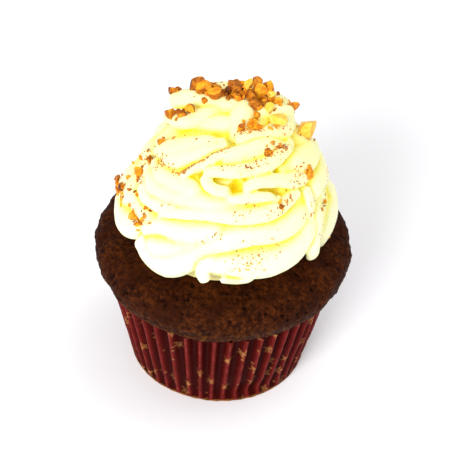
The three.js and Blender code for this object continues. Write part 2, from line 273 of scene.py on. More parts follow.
def nearness(
    points: np.ndarray, places: Sequence[Vector], reach: float, weight: float
) -> np.ndarray:
    """How thickly places lie about each point.

    Args:
        points: the points, one row each.
        places: the places.
        reach: how far a place counts, in millimetres.
        weight: what one place at the point itself counts for.

    Returns:
        A number from 0 to 1 for each point.
    """
    tree = KDTree(len(places))
    for i, place in enumerate(places):
        tree.insert(place, i)
    tree.balance()
    # Past 2.2 times the reach a place counts for less than a hundredth.
    sums = [
        sum(
            math.exp(-((away / reach) ** 2))
            for _, _, away in tree.find_range(Vector(point), 2.2 * reach)
        )
        for point in points
    ]
    return np.minimum(np.array(sums) * weight, 1.0)


def lay_out(mesh: bpy.types.Mesh, u: np.ndarray, v: np.ndarray) -> None:
    """Fills a mesh's UV map, where u goes round from 0 to 1 and starts again.

    Args:
        mesh: the mesh.
        u: the way round of each vertex.
        v: the way up of each vertex.
    """
    corners = np.empty(len(mesh.loops), np.int32)
    mesh.loops.foreach_get("vertex_index", corners)
    starts = np.empty(len(mesh.polygons), np.int32)
    mesh.polygons.foreach_get("loop_start", starts)
    counts = np.diff(np.append(starts, len(corners)))
    corner_u = u[corners]
    # A face across the seam has its low corners moved on, beyond 1.
    span = np.maximum.reduceat(corner_u, starts) - np.minimum.reduceat(corner_u, starts)
    split = np.repeat(span > 0.5, counts)
    corner_u = np.where(split & (corner_u < 0.5), corner_u + 1, corner_u)
    places = np.stack([corner_u, v[corners]], 1)
    mesh.uv_layers[0].data.foreach_set("uv", places.astype(np.float32).ravel())


def select_rim() -> None:
    """Selects the open edge of the shell in edit mode, and nothing else."""
    bpy.ops.mesh.select_mode(type="EDGE")
    bpy.ops.mesh.select_all(action="DESELECT")
    bpy.ops.mesh.select_non_manifold()


def raised_rings(name: str, columns: int, rows: Sequence[tuple[float, float]]) -> Piece:
    """A round shell: a filled circle whose edge is extruded through rings.

    Args:
        name: the piece's name.
        columns: how many vertices a ring has.
        rows: the (radius, height) of each ring, the circle's first.

    Returns:
        The piece, open at its last ring.
    """
    radius, height = rows[0]
    deselect_all()
    bpy.ops.mesh.primitive_circle_add(
        vertices=columns, radius=radius * MM, fill_type="TRIFAN", location=(0, 0, height * MM)
    )
    piece = bpy.context.object
    piece.name = piece.data.name = name
    bpy.ops.object.transform_apply(location=True)
    bpy.ops.object.mode_set(mode="EDIT")
    select_rim()
    for new_radius, new_height in rows[1:]:
        rise = {"value": (0, 0, (new_height - height) * MM)}
        bpy.ops.mesh.extrude_region_move(TRANSFORM_OT_translate=rise)
        share = new_radius / radius
        bpy.ops.transform.resize(value=(share, share, 1), center_override=(0, 0, 0))
        radius, height = new_radius, new_height
    bpy.ops.mesh.select_all(action="SELECT")
    bpy.ops.mesh.flip_normals()
    select_rim()
    bpy.ops.object.mode_set(mode="OBJECT")
    return piece


def closed_over() -> None:
    """Draws the last ring of the active shell together into one vertex."""
    bpy.ops.object.mode_set(mode="EDIT")
    bpy.ops.mesh.merge(type="CENTER")
    bpy.ops.object.mode_set(mode="OBJECT")


def gathered(name: str, copies: Sequence[tuple[bpy.types.Mesh, Matrix]]) -> Piece:
    """One piece made of placed copies of meshes.

    Args:
        name: the piece's name.
        copies: each copy's mesh, and its place in millimetres.

    Returns:
        The piece. Its faces keep their material numbers.
    """
    shell = bmesh.new()
    for mesh, place in copies:
        copy = mesh.copy()
        copy.transform(Matrix.Scale(MM, 4) @ place)
        shell.from_mesh(copy)
        bpy.data.meshes.remove(copy)
    made = bpy.data.meshes.new(name)
    shell.to_mesh(made)
    shell.free()
    piece = bpy.data.objects.new(name, made)
    bpy.context.scene.collection.objects.link(piece)
    return piece


def stood_for(piece: Piece, node: str) -> Piece:
    """Has a piece stand for a node of the frame and ride on the body.

    Args:
        piece: the piece.
        node: the node that it replaces.

    Returns:
        The piece.
    """
    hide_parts(node)
    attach(piece, "root")
    mesh = piece.data
    log.info("%s: %d vertices, %d faces", piece.name, len(mesh.vertices), len(mesh.polygons))
    return piece


# ---------------------------------------------------------------- finishes


class Sheet:
    """A node tree, with short calls for the nodes that the finishes use."""

    def __init__(self, tree: bpy.types.NodeTree) -> None:
        """Takes up a tree."""
        self.tree = tree

    def feed(self, socket: Socket, value: object) -> None:
        """Links a socket to a value that is a socket, or sets it to a constant.

        Args:
            socket: the input.
            value: what it is fed.
        """
        if isinstance(value, bpy.types.NodeSocket):
            self.tree.links.new(value, socket)
        else:
            socket.default_value = value

    def node(self, kind: str, values: dict | None = None, **settings: object) -> bpy.types.Node:
        """Adds a node.

        Args:
            kind: its type, without the leading ShaderNode.
            values: what its inputs are fed, by name or number.
            settings: its properties.

        Returns:
            The node.
        """
        made = self.tree.nodes.new("ShaderNode" + kind)
        for name, value in settings.items():
            setattr(made, name, value)
        for name, value in (values or {}).items():
            self.feed(made.inputs[name], value)
        return made

    def math(self, operation: str, *values: object) -> Socket:
        """The result of a sum on up to three values."""
        return self.node("Math", dict(enumerate(values)), operation=operation).outputs[0]

    def times(self, value: object, factor: object, plus: float = 0.0) -> Socket:
        """A value times a factor, and something added."""
        return self.math("MULTIPLY_ADD", value, factor, plus)

    def mix(self, share: object, low: object, high: object) -> Socket:
        """A colour that goes from low to high with the share."""
        return self.node("Mix", {0: share, 6: low, 7: high}, data_type="RGBA").outputs[2]

    def band(self, value: object, low: float, high: float) -> Socket:
        """A smooth rise from 0 at low to 1 at high."""
        ends = {0: value, 1: low, 2: high}
        return self.node("MapRange", ends, interpolation_type="SMOOTHSTEP").outputs[0]

    def noise(self, place: Socket, size: float, detail: float = 3.0, rough: float = 0.55) -> Socket:
        """Noise from 0 to 1 with waves of a size in millimetres."""
        values = {"Vector": place, "Scale": 1 / size, "Detail": detail, "Roughness": rough}
        return self.node("TexNoise", values).outputs[0]

    def place(self) -> Socket:
        """Places on the object in millimetres."""
        here = self.node("TexCoord").outputs["Object"]
        return self.node("VectorMath", {0: here, 3: 1 / MM}, operation="SCALE").outputs[0]

    def height(self, place: Socket) -> Socket:
        """How high a place is, in millimetres."""
        return self.node("SeparateXYZ", {0: place}).outputs[2]

    def flecks(self, place: Socket, fineness: float, dark: object, light: object) -> Socket:
        """Two colours in uneven flecks, more of them to the millimetre with the fineness."""
        values = {"Place": place, "Fineness": fineness, "Dark": dark, "Light": light}
        return self.group(mottle(), values)

    def rough_skin(self, place: Socket, fineness: float, depth: float) -> Socket:
        """A normal with a fine grain that is depth millimetres deep.

        Args:
            place: the place in millimetres.
            fineness: how many grains there are to the millimetre.
            depth: how deep the grain is.

        Returns:
            The normal.
        """
        height = self.group(grain(), {"Place": place, "Fineness": fineness})
        values = {"Height": height, "Distance": depth * MM, "Strength": 1.0}
        return self.node("Bump", values).outputs[0]

    def kept(self, name: str) -> Socket:
        """A number that was stored on the mesh."""
        return self.node("Attribute", attribute_name=name).outputs["Fac"]

    def group(self, tree: bpy.types.NodeTree, values: dict) -> Socket:
        """The output of a shared group whose inputs are fed these values."""
        return self.node("Group", values, node_tree=tree).outputs[0]


def shared_group(
    name: str,
    inputs: dict[str, tuple[str, object]],
    output: tuple[str, str],
    build: Callable[[Sheet, dict[str, Socket]], Socket],
) -> bpy.types.NodeTree:
    """A shader node group, built at its first use.

    Args:
        name: the group's name.
        inputs: the type and default of each input.
        output: the name and type of the output.
        build: makes the nodes from the inputs' sockets and returns the result.

    Returns:
        The group's tree.
    """
    tree = bpy.data.node_groups.get(name)
    if tree is None:
        tree = bpy.data.node_groups.new(name, "ShaderNodeTree")
        for label, (kind, default) in inputs.items():
            made = tree.interface.new_socket(label, in_out="INPUT", socket_type=kind)
            if default is not None:
                made.default_value = default
        tree.interface.new_socket(output[0], in_out="OUTPUT", socket_type=output[1])
        start, end = tree.nodes.new("NodeGroupInput"), tree.nodes.new("NodeGroupOutput")
        result = build(Sheet(tree), {label: start.outputs[label] for label in inputs})
        tree.links.new(result, end.inputs[0])
    return tree


def mottle() -> bpy.types.NodeTree:
    """The shared group that mixes two colours in uneven flecks.

    Returns:
        The group's tree.
    """

    def build(sheet: Sheet, given: dict[str, Socket]) -> Socket:
        """Mixes by noise that is sharpened into flecks.

        Args:
            sheet: the group's sheet.
            given: the group's inputs.

        Returns:
            The mixed colour.
        """
        values = {
            "Vector": given["Place"], "Scale": given["Fineness"], "Detail": 4.0, "Roughness": 0.65,
        }
        flecks = sheet.band(sheet.node("TexNoise", values).outputs[0], 0.36, 0.66)
        return sheet.mix(flecks, given["Dark"], given["Light"])

    inputs = {
        "Place": ("NodeSocketVector", None),
        "Fineness": ("NodeSocketFloat", 1.0),
        "Dark": ("NodeSocketColor", (0, 0, 0, 1)),
        "Light": ("NodeSocketColor", (1, 1, 1, 1)),
    }
    return shared_group("mottle", inputs, ("Colour", "NodeSocketColor"), build)


def grain() -> bpy.types.NodeTree:
    """The shared group that gives a fine uneven height, for bumps.

    Returns:
        The group's tree.
    """

    def build(sheet: Sheet, given: dict[str, Socket]) -> Socket:
        """Adds a coarse and a fine noise.

        Args:
            sheet: the group's sheet.
            given: the group's inputs.

        Returns:
            The height.
        """
        coarse = {"Vector": given["Place"], "Scale": given["Fineness"], "Detail": 2.0}
        finer = sheet.times(given["Fineness"], 3.7)
        fine = {"Vector": given["Place"], "Scale": finer, "Detail": 3.0}
        low = sheet.node("TexNoise", coarse).outputs[0]
        high = sheet.node("TexNoise", fine).outputs[0]
        return sheet.math("ADD", sheet.times(low, 0.65), sheet.times(high, 0.35))

    inputs = {"Place": ("NodeSocketVector", None), "Fineness": ("NodeSocketFloat", 1.0)}
    return shared_group("grain", inputs, ("Height", "NodeSocketFloat"), build)


class MaterialSheet(Sheet):
    """The node tree of a new material, round its Principled shader."""

    def __init__(self, name: str, specular: float = 0.5) -> None:
        """Makes the material.

        Args:
            name: the material's name.
            specular: the level of its specular light.
        """
        self.material = bpy.data.materials.new(name)
        self.material.use_nodes = True
        super().__init__(self.material.node_tree)
        self.shader = self.tree.nodes["Principled BSDF"]
        self.shader.inputs["Specular IOR Level"].default_value = specular

    def finished(self, values: dict[str, object]) -> bpy.types.Material:
        """The material, its shader's inputs fed with these values."""
        for name, value in values.items():
            self.feed(self.shader.inputs[name], value)
        return self.material


@dataclass(frozen=True)
class PaperFinish:
    """Dark red greaseproof paper, printed with stars and dots, paler on its folds: partly its own tone,
    partly painted light and a painted highlight on the ridges, with painted shade in the grooves.
    """

    # groove, face and fold run from dark to pale across a pleat: partly the paper's own tone, partly painted
    # shade in the grooves and painted light on the ridges.
    groove: Colour = (0.030, 0.0018, 0.0013, 1)
    face: Colour = (0.070, 0.0045, 0.0036, 1)
    fold: Colour = (0.150, 0.0115, 0.0095, 1)
    # rubbed: a painted highlight on the ridge tops, also standing for rubbed wear.
    rubbed_sheen: Colour = (0.40, 0.085, 0.060, 1)
    lip: Colour = (0.30, 0.12, 0.025, 1)
    print_colour: Colour = (0.38, 0.165, 0.05, 1)
    # The print: sizes in millimetres, and the share of the cells left without a star or dot.
    star: float = 2.0
    star_blur: float = 0.24
    star_pitch: float = 7.6
    star_looseness: float = 0.8
    star_gaps: float = 0.22
    dot: float = 0.42
    dot_blur: float = 0.14
    dot_pitch: float = 4.0
    dot_looseness: float = 1.0
    dot_gaps: float = 0.75

    def stars(self, sheet: Sheet, flat: Socket) -> Socket:
        """A mask of five-pointed stars, one in most cells of the flat paper.

        Args:
            sheet: the sheet of the material.
            flat: the place on the flat paper, in millimetres.

        Returns:
            The mask, 1 on a star.
        """
        # The edge from a tip at radius 1 to an inner corner: its normal, and how far out it is.
        edge_x, edge_y, edge_at = 0.35, 0.936, 0.35
        cell = self.cells(sheet, flat, self.star_pitch, self.star_looseness)
        middle = cell.outputs["Position"]
        local = sheet.node("VectorMath", {0: flat, 1: middle}, operation="SUBTRACT").outputs[0]
        pick = sheet.node("SeparateColor", {0: cell.outputs["Color"]})
        turn = sheet.times(pick.outputs[0], math.tau)
        turned = {"Vector": local, "Angle": turn}
        spun = sheet.node("VectorRotate", turned, rotation_type="Z_AXIS").outputs[0]
        part = sheet.node("SeparateXYZ", {0: spun})
        angle = sheet.math("ARCTAN2", part.outputs[1], part.outputs[0])
        point = sheet.math("ABSOLUTE", self.wrapped(sheet, angle))
        reach = sheet.node("VectorMath", {0: local}, operation="LENGTH").outputs["Value"]
        over = sheet.times(sheet.times(reach, sheet.math("COSINE", point)), edge_x)
        side = sheet.times(sheet.times(reach, sheet.math("SINE", point)), edge_y)
        limit = edge_at * self.star
        away = sheet.math("ADD", over, side)
        inside = sheet.band(away, limit + self.star_blur, limit - self.star_blur)
        shown = sheet.math("GREATER_THAN", pick.outputs[1], self.star_gaps)
        return sheet.times(inside, shown)

    def wrapped(self, sheet: Sheet, angle: Socket) -> Socket:
        """An angle folded into one point of the star."""
        fifth = math.pi / 5
        return sheet.node("Math", {0: angle, 1: fifth, 2: -fifth}, operation="WRAP").outputs[0]

    def cells(self, sheet: Sheet, flat: Socket, pitch: float, loose: float) -> bpy.types.Node:
        """Cells over the flat paper, of a pitch in millimetres and so far out of line."""
        values = {"Vector": flat, "Scale": 1 / pitch, "Randomness": loose}
        return sheet.node("TexVoronoi", values, voronoi_dimensions="2D")

    def dots(self, sheet: Sheet, flat: Socket) -> Socket:
        """A mask of small dots, one in a few cells of the flat paper.

        Args:
            sheet: the sheet of the material.
            flat: the place on the flat paper, in millimetres.

        Returns:
            The mask, 1 on a dot.
        """
        cell = self.cells(sheet, flat, self.dot_pitch, self.dot_looseness)
        middle = cell.outputs["Position"]
        away = sheet.node("VectorMath", {0: flat, 1: middle}, operation="DISTANCE").outputs["Value"]
        inside = sheet.band(away, self.dot + self.dot_blur, self.dot - self.dot_blur)
        pick = sheet.node("SeparateColor", {0: cell.outputs["Color"]})
        shown = sheet.math("GREATER_THAN", pick.outputs[0], self.dot_gaps)
        return sheet.times(inside, shown)

    def material(self, flat_size: tuple[float, float]) -> bpy.types.Material:
        """The material.

        Args:
            flat_size: the width and height of the paper when flat, in millimetres.

        Returns:
            The material, which reads the mesh's ridge and its UV map.
        """
        sheet = MaterialSheet("printed_paper", specular=0.02)
        place = sheet.place()
        uv = sheet.node("TexCoord").outputs["UV"]
        flat = sheet.node("VectorMath", {0: uv, 1: (*flat_size, 1)}, operation="MULTIPLY").outputs[0]
        ridge = sheet.kept("ridge")
        wear = sheet.noise(place, 1.6, 4.0, 0.7)
        # Painted shade in the grooves and painted light on the ridges, partly the paper's own tone.
        ground = sheet.mix(sheet.band(ridge, 0.0, 0.45), self.groove, self.face)
        ground = sheet.mix(sheet.band(ridge, 0.45, 1.0), ground, self.fold)
        # Painted highlight along the ridge tops, in worn patches, also standing for rubbed wear.
        rubbed_sheen = sheet.times(sheet.band(ridge, 0.93, 1.0), sheet.band(wear, 0.42, 0.75))
        ground = sheet.mix(sheet.times(rubbed_sheen, 0.7), ground, self.rubbed_sheen)
        ground = sheet.mix(0.4, ground, sheet.flecks(place, 0.35, self.groove, ground))
        mask = sheet.math("MAXIMUM", self.stars(sheet, flat), self.dots(sheet, flat))
        worn = sheet.times(mask, sheet.band(sheet.noise(place, 0.7), 0.30, 0.65))
        # In a groove the print shows at a third of its strength, as painted shade.
        lit = sheet.times(worn, sheet.times(ridge, 0.65, 0.35))
        ground = sheet.mix(lit, ground, self.print_colour)
        edge = sheet.times(sheet.band(sheet.height(place), 1.2, 0.5), sheet.band(wear, 0.3, 0.6))
        return sheet.finished({
            "Base Color": sheet.mix(edge, ground, self.lip),
            "Roughness": sheet.times(wear, 0.3, 0.3),
            "Normal": sheet.rough_skin(place, 2.6, 0.12),
        })


@dataclass(frozen=True)
class CrumbFinish:
    """Moist dark chocolate cake: crumbs lighter than the pits between them, partly with painted highlights,
    and the pits darkened with painted shade.
    """

    pit: Colour = (0.0085, 0.0014, 0.0004, 1)
    crumb: Colour = (0.031, 0.0058, 0.001, 1)
    pale_and_lit_crumb: Colour = (0.108, 0.025, 0.0035, 1)
    baked: Colour = (0.24, 0.095, 0.012, 1)

    def material(self) -> bpy.types.Material:
        """The material.

        Returns:
            The material, which reads how deep in a pit the mesh is, to paint shade into the pits.
        """
        sheet = MaterialSheet("chocolate_crumb", specular=0.04)
        place = sheet.place()
        # Lighter flecks: partly the crumb's own uneven tone, partly painted highlights on the crumbs.
        body = sheet.flecks(place, 0.7, self.crumb, self.pale_and_lit_crumb)
        # Fine near-black flecks, partly painted shade in small pits.
        body = sheet.mix(0.6, body, sheet.flecks(place, 2.4, self.pit, body))
        body = sheet.mix(sheet.band(sheet.noise(place, 7.0, 2.0), 0.6, 0.3), body, self.crumb)
        # The overhang is baked lighter, in patches.
        patches = sheet.band(sheet.noise(place, 1.4), 0.5, 0.72)
        edge = sheet.times(sheet.band(sheet.height(place), 40, 34), patches)
        body = sheet.mix(sheet.times(edge, 0.5), body, self.baked)
        return sheet.finished({
            # Painted shade: the deeper in a pit, the nearer to the near-black pit colour.
            "Base Color": sheet.mix(sheet.band(sheet.kept("pit"), 0.35, 0.95), body, self.pit),
            "Roughness": sheet.times(sheet.noise(place, 1.1, 4.0, 0.7), 0.45, 0.4),
            "Normal": sheet.rough_skin(place, 2.2, 0.35),
        })


@dataclass(frozen=True)
class CreamFinish:
    """Piped vanilla cream: near white where it stands out, with yellow painted shade in its hollows and
    creases, at its foot and on its higher crests.
    """

    crest: Colour = (0.95, 0.935, 0.58, 1)
    # shaded_high_crest: painted shade, the higher crests yellower as if less lit than the lower folds.
    shaded_high_crest: Colour = (0.95, 0.93, 0.46, 1)
    # fold, deep and depth: painted shade, for the hollows, the creases and where folds shut the cream in.
    fold: Colour = (0.96, 0.89, 0.20, 1)
    deep: Colour = (0.96, 0.76, 0.02, 1)
    depth: Colour = (1.0, 0.82, 0.02, 1)
    # foot: painted shade where the folds turn under onto the cake.
    foot: Colour = (0.95, 0.79, 0.24, 1)
    stain: Colour = (0.80, 0.36, 0.10, 1)
    roast: Colour = (0.95, 0.62, 0.20, 1)

    def material(self) -> bpy.types.Material:
        """The material.

        Returns:
            The material, which reads how hollow, creased and shut in the mesh is, to paint
            shade there, and how near it is to dust and nuts.
        """
        sheet = MaterialSheet("piped_cream", specular=0.35)
        sheet.shader.subsurface_method = "RANDOM_WALK"
        place = sheet.place()
        height = sheet.height(place)
        # Painted shade: the higher crests are yellower, as if less lit than the lower folds.
        crest = sheet.mix(sheet.band(height, 55, 80), self.crest, self.shaded_high_crest)
        # Painted shade: yellower in the hollows, deeper in the creases and crease lines, and deepest where
        # other folds shut the cream in.
        body = sheet.mix(sheet.band(sheet.kept("hollow"), -0.4, 0.5), crest, self.fold)
        body = sheet.mix(sheet.band(sheet.kept("crease"), 0.06, 0.50), body, self.deep)
        line = sheet.times(sheet.band(sheet.kept("line"), 0.02, 0.18), 0.7)
        body = sheet.mix(line, body, self.deep)
        shut = sheet.band(sheet.kept("shut"), 0.20, 0.60)
        body = sheet.mix(shut, body, self.depth)
        # Painted shade low down, where the folds meet the cake.
        body = sheet.mix(sheet.times(sheet.band(height, 51, 46), 0.8), body, self.foot)
        body = sheet.mix(sheet.times(sheet.kept("roast"), 0.55), body, self.roast)
        specks = sheet.band(sheet.noise(place, 0.34, 2.0, 0.6), 0.60, 0.70)
        powder = sheet.times(specks, sheet.band(sheet.kept("dust"), 0.05, 0.8))
        return sheet.finished({
            "Base Color": sheet.mix(sheet.times(powder, 0.7), body, self.stain),
            "Roughness": sheet.times(sheet.noise(place, 2.0), 0.2, 0.38),
            "Normal": sheet.rough_skin(place, 0.8, 0.10),
            # Between two folds the cream is lit from behind, through the folds.
            "Subsurface Weight": sheet.times(shut, 0.6, 0.4),
            "Subsurface Scale": sheet.times(shut, 9 * MM, 1.6 * MM),
            "Subsurface Radius": (1.0, 0.8, 0.35),
        })


@dataclass(frozen=True)
class NutFinish:
    """Roasted nut, in two materials: the skin outside and the flesh where it is cut."""

    name: str
    skin: Colour
    skin_dark: Colour
    flesh: Colour
    flesh_dark: Colour

    def side(self, name: str, dark: Colour, light: Colour, rough: float) -> bpy.types.Material:
        """One of the two materials.

        Args:
            name: which it is.
            dark: the colour of its darker flecks.
            light: the colour of the rest.
            rough: its least roughness.

        Returns:
            The material.
        """
        sheet = MaterialSheet(f"{self.name}_{name}", specular=0.18)
        place = sheet.place()
        broad = sheet.flecks(place, 0.55, dark, light)
        return sheet.finished({
            "Base Color": sheet.mix(0.55, broad, sheet.flecks(place, 2.3, dark, broad)),
            "Roughness": sheet.times(sheet.noise(place, 0.8), 0.25, rough),
            "Normal": sheet.rough_skin(place, 1.8, 0.22),
        })

    def materials(self) -> tuple[bpy.types.Material, bpy.types.Material]:
        """The skin's material and the flesh's.

        Returns:
            The two materials.
        """
        return (
            self.side("skin", self.skin_dark, self.skin, 0.3),
            self.side("flesh", self.flesh_dark, self.flesh, 0.4),
        )


class NutTone(Enum):
    """How roasted a chip of nut is."""

    BROWN = NutFinish(
        "brown_nut", (0.25, 0.058, 0.005, 1), (0.035, 0.007, 0.001, 1),
        (0.80, 0.29, 0.012, 1), (0.26, 0.056, 0.002, 1),
    )
    AMBER = NutFinish(
        "amber_nut", (0.56, 0.16, 0.005, 1), (0.26, 0.055, 0.002, 1),
        (1.0, 0.52, 0.022, 1), (0.66, 0.19, 0.005, 1),
    )
    PALE = NutFinish(
        "pale_nut", (0.82, 0.36, 0.02, 1), (0.40, 0.10, 0.004, 1),
        (0.98, 0.72, 0.16, 1), (0.92, 0.50, 0.04, 1),
    )


@dataclass(frozen=True)
class DustFinish:
    """Red-brown cinnamon and nut dust."""

    dark: Colour = (0.30, 0.075, 0.008, 1)
    light: Colour = (0.80, 0.36, 0.04, 1)
    sunk: Colour = (0.66, 0.54, 0.20, 1)

    def material(self) -> bpy.types.Material:
        """The material.

        Returns:
            The material, which differs from speck to speck.
        """
        sheet = MaterialSheet("nut_dust")
        place = sheet.place()
        body = sheet.flecks(place, 0.6, self.dark, self.light)
        # On the lower folds it lies thinner, half sunk in the cream.
        sunk = sheet.times(sheet.band(sheet.height(place), 64, 54), 0.85)
        return sheet.finished({
            "Base Color": sheet.mix(sunk, body, self.sunk),
            "Roughness": sheet.times(sheet.noise(place, 0.5), 0.2, 0.6),
        })


# ---------------------------------------------------------------- paper case


@dataclass(frozen=True)
class Dent:
    """A shallow dent, low in the wall of the case."""

    azimuth: float = 19.0
    half: float = 15.0
    tall: float = 4.5
    deep: float = 1.3

    def at(self, points: np.ndarray) -> np.ndarray:
        """How far each place is pressed in, in millimetres.

        Args:
            points: places on the case, one row each.

        Returns:
            One number for each place.
        """
        x, y, z = points.T
        # It fades in above the foot, and out towards twice its height.
        aside = (np.degrees(np.arctan2(x, -y)) - self.azimuth) / self.half
        above = smooth_step(0.6, 0.6 * self.tall, z)
        below = 1 - smooth_step(0.8 * self.tall, 2.2 * self.tall, z)
        return self.deep * np.exp(-(aside**2)) * (above * below)


@dataclass
class PaperCase:
    """The paper case: a flat base, and a wall pleated by a die, a little uneven."""

    base_radius: float = 25.6
    mouth_radius: float = 31.5
    height: float = 30.8
    thickness: float = 0.3
    # The round shell's rings, as (radius, height), and how finely it is divided.
    base_rows: Rows = ((5, 0.5), (12, 0.45), (18, 0.35), (21, 0.25), (23.5, 0.1), (25.2, 0.0))
    foot_rows: Rows = ((25.8, 0.15), (26, 0.55), (26, 1.2))
    wall_rows: int = 19
    columns_per_pleat: int = 12
    # The pleats: their depth at both ends, where they begin up the wall and out along the
    # base, and how a ridge rounds off into a groove, in pleats.
    pleats: int = 47
    pleat_at_base: float = 0.34
    pleat_at_mouth: float = 1.05
    pleat_foot: tuple[float, float] = (0.1, 3.5)
    pleat_radii: tuple[float, float] = (19.0, 24.0)
    ridge: tuple[float, float] = (0.02, 0.38)
    groove_share: float = 1.3
    # They drift round the case by some hundredths of a pleat, lean, and vary in depth.
    seed: int = 5
    drift: tuple[float, float] = (0.01, 0.05)
    drift_turns: tuple[int, ...] = (3, 7, 11, 16)
    lean: float = 0.22
    uneven: Wave = Wave(0.18, 3.0)
    # What bends the wall, the base and the mouth.
    bulge: Wave = Wave(0.28, 16.0, 3.0)
    crumple: Wave = Wave(0.10, 2.6, 9.0)
    waist: float = 0.12
    dent: Dent = Dent()
    sag: Wave = Wave(0.12, 5.0, 6.0)
    press: float = 0.22
    press_radii: tuple[float, float] = (17.0, 22.0)
    mouth: Wave = Wave(0.3, 6.0, 2.0)
    mouth_drop: float = 0.18
    mouth_band: float = 4.0
    finish: PaperFinish = field(default_factory=PaperFinish)

    def radius_at(self, height: np.ndarray | float) -> np.ndarray | float:
        """The mean radius of the wall at a height."""
        return self.base_radius + (self.mouth_radius - self.base_radius) * height / self.height

    def rows(self) -> list[tuple[float, float]]:
        """The (radius, height) of each ring, from the base's middle to the mouth.

        Returns:
            The rings, for a round shell.
        """
        start = self.foot_rows[-1][1]
        rise = self.height - start
        heights = [start + rise * (i + 1) / self.wall_rows for i in range(self.wall_rows)]
        return [*self.base_rows, *self.foot_rows, *((self.radius_at(z), z) for z in heights)]

    def ridge_at(self, angle: np.ndarray, height: np.ndarray) -> np.ndarray:
        """How near each place is to a ridge: 1 on it, 0 in a groove.

        Args:
            angle: the angle of each place round the case.
            height: the height of each place.

        Returns:
            One number for each place.
        """
        chance = random.Random(self.seed)
        drift = sum(
            chance.uniform(*self.drift) * np.sin(turns * angle + chance.uniform(0, math.tau))
            for turns in self.drift_turns
        )
        lean = self.lean * np.sin(2 * angle + 1.0) * height / self.height
        turn = angle * self.pleats / math.tau + drift + lean
        phase = np.abs(turn - np.round(turn))
        return 1 - smooth_step(*self.ridge, phase)

    def pleated(self, points: np.ndarray) -> tuple[np.ndarray, np.ndarray]:
        """Pleats and dents the round shell.

        Args:
            points: the shell's vertices.

        Returns:
            The moved vertices, and how near each is to a ridge.
        """
        x, y, z = points.T
        radius, angle = np.hypot(x, y), np.arctan2(y, x)
        ridge = self.ridge_at(angle, z)
        depth = self.pleat_at_base + (self.pleat_at_mouth - self.pleat_at_base) * z / self.height
        # A pleat varies slowly along its length, so the waves are drawn out upward.
        uneven = 1 + self.uneven.at(np.stack([x, y, z * 0.15], 1))
        fold = np.where(ridge > 0.5, 1.0, self.groove_share) * (2 * ridge - 1) * depth * uneven
        fold = np.minimum(fold, depth) * smooth_step(*self.pleat_foot, z)
        bulge = self.bulge.at(points) - self.waist * smooth_step(0, 3, z)
        wall = smooth_step(*self.pleat_radii, radius)
        grown = radius + (fold + bulge + self.crumple.at(points) - self.dent.at(points)) * wall
        scale = np.where(radius > 1, grown / np.maximum(radius, 1), 1)
        sunk = np.clip(z + self.sag.at(points) * (radius < self.pleat_radii[1]), 0, None)
        # The pleats show in the base's edge too, pressed flat.
        pressed = self.press * ridge * smooth_step(*self.press_radii, radius) * (z < 0.3)
        at_mouth = smooth_step(self.height - self.mouth_band, self.height, z)
        edge = at_mouth * (self.mouth.at(points) - self.mouth_drop)
        return np.stack([x * scale, y * scale, sunk + pressed + edge], 1), ridge

    def unrolled(self, piece: Piece, round_points: np.ndarray) -> tuple[float, float]:
        """Gives the piece a UV map of the flat paper.

        Args:
            piece: the pleated piece.
            round_points: its vertices before it was pleated.

        Returns:
            The width and height of the flat paper, in millimetres.
        """
        x, y, z = round_points.T
        angle = np.arctan2(y, x) % math.tau
        # The pleated length is measured round the ring halfway up.
        middle = np.abs(z - np.median(z)) < 1e-3
        order = np.argsort(angle[middle])
        ring = points_of(piece)[middle][order]
        steps = np.linalg.norm(np.roll(ring, -1, axis=0) - ring, axis=1)
        width = float(steps.sum())
        height = self.height + self.base_radius
        along = np.concatenate([[0.0], np.cumsum(steps)])
        u = np.interp(angle, [*angle[middle][order], math.tau], along) / width
        on_wall = z > self.foot_rows[1][1]
        v = np.where(on_wall, z + self.base_radius, np.hypot(x, y)) / height
        lay_out(piece.data, u, v)
        return width, height

    def build(self) -> Piece:
        """The case, dressed.

        Returns:
            The case.
        """
        piece = raised_rings("case_paper", self.pleats * self.columns_per_pleat, self.rows())
        round_points = points_of(piece)
        points, ridge = self.pleated(round_points)
        move_points(piece, points)
        flat_size = self.unrolled(piece, round_points)
        store(piece, "ridge", ridge)
        apply_modifier(piece, "SOLIDIFY", thickness=self.thickness * MM, offset=-1.0)
        smooth_shaded(piece, angle=60)
        piece.data.materials.append(self.finish.material(flat_size))
        return stood_for(piece, "paper_case")


# ---------------------------------------------------------------- cake


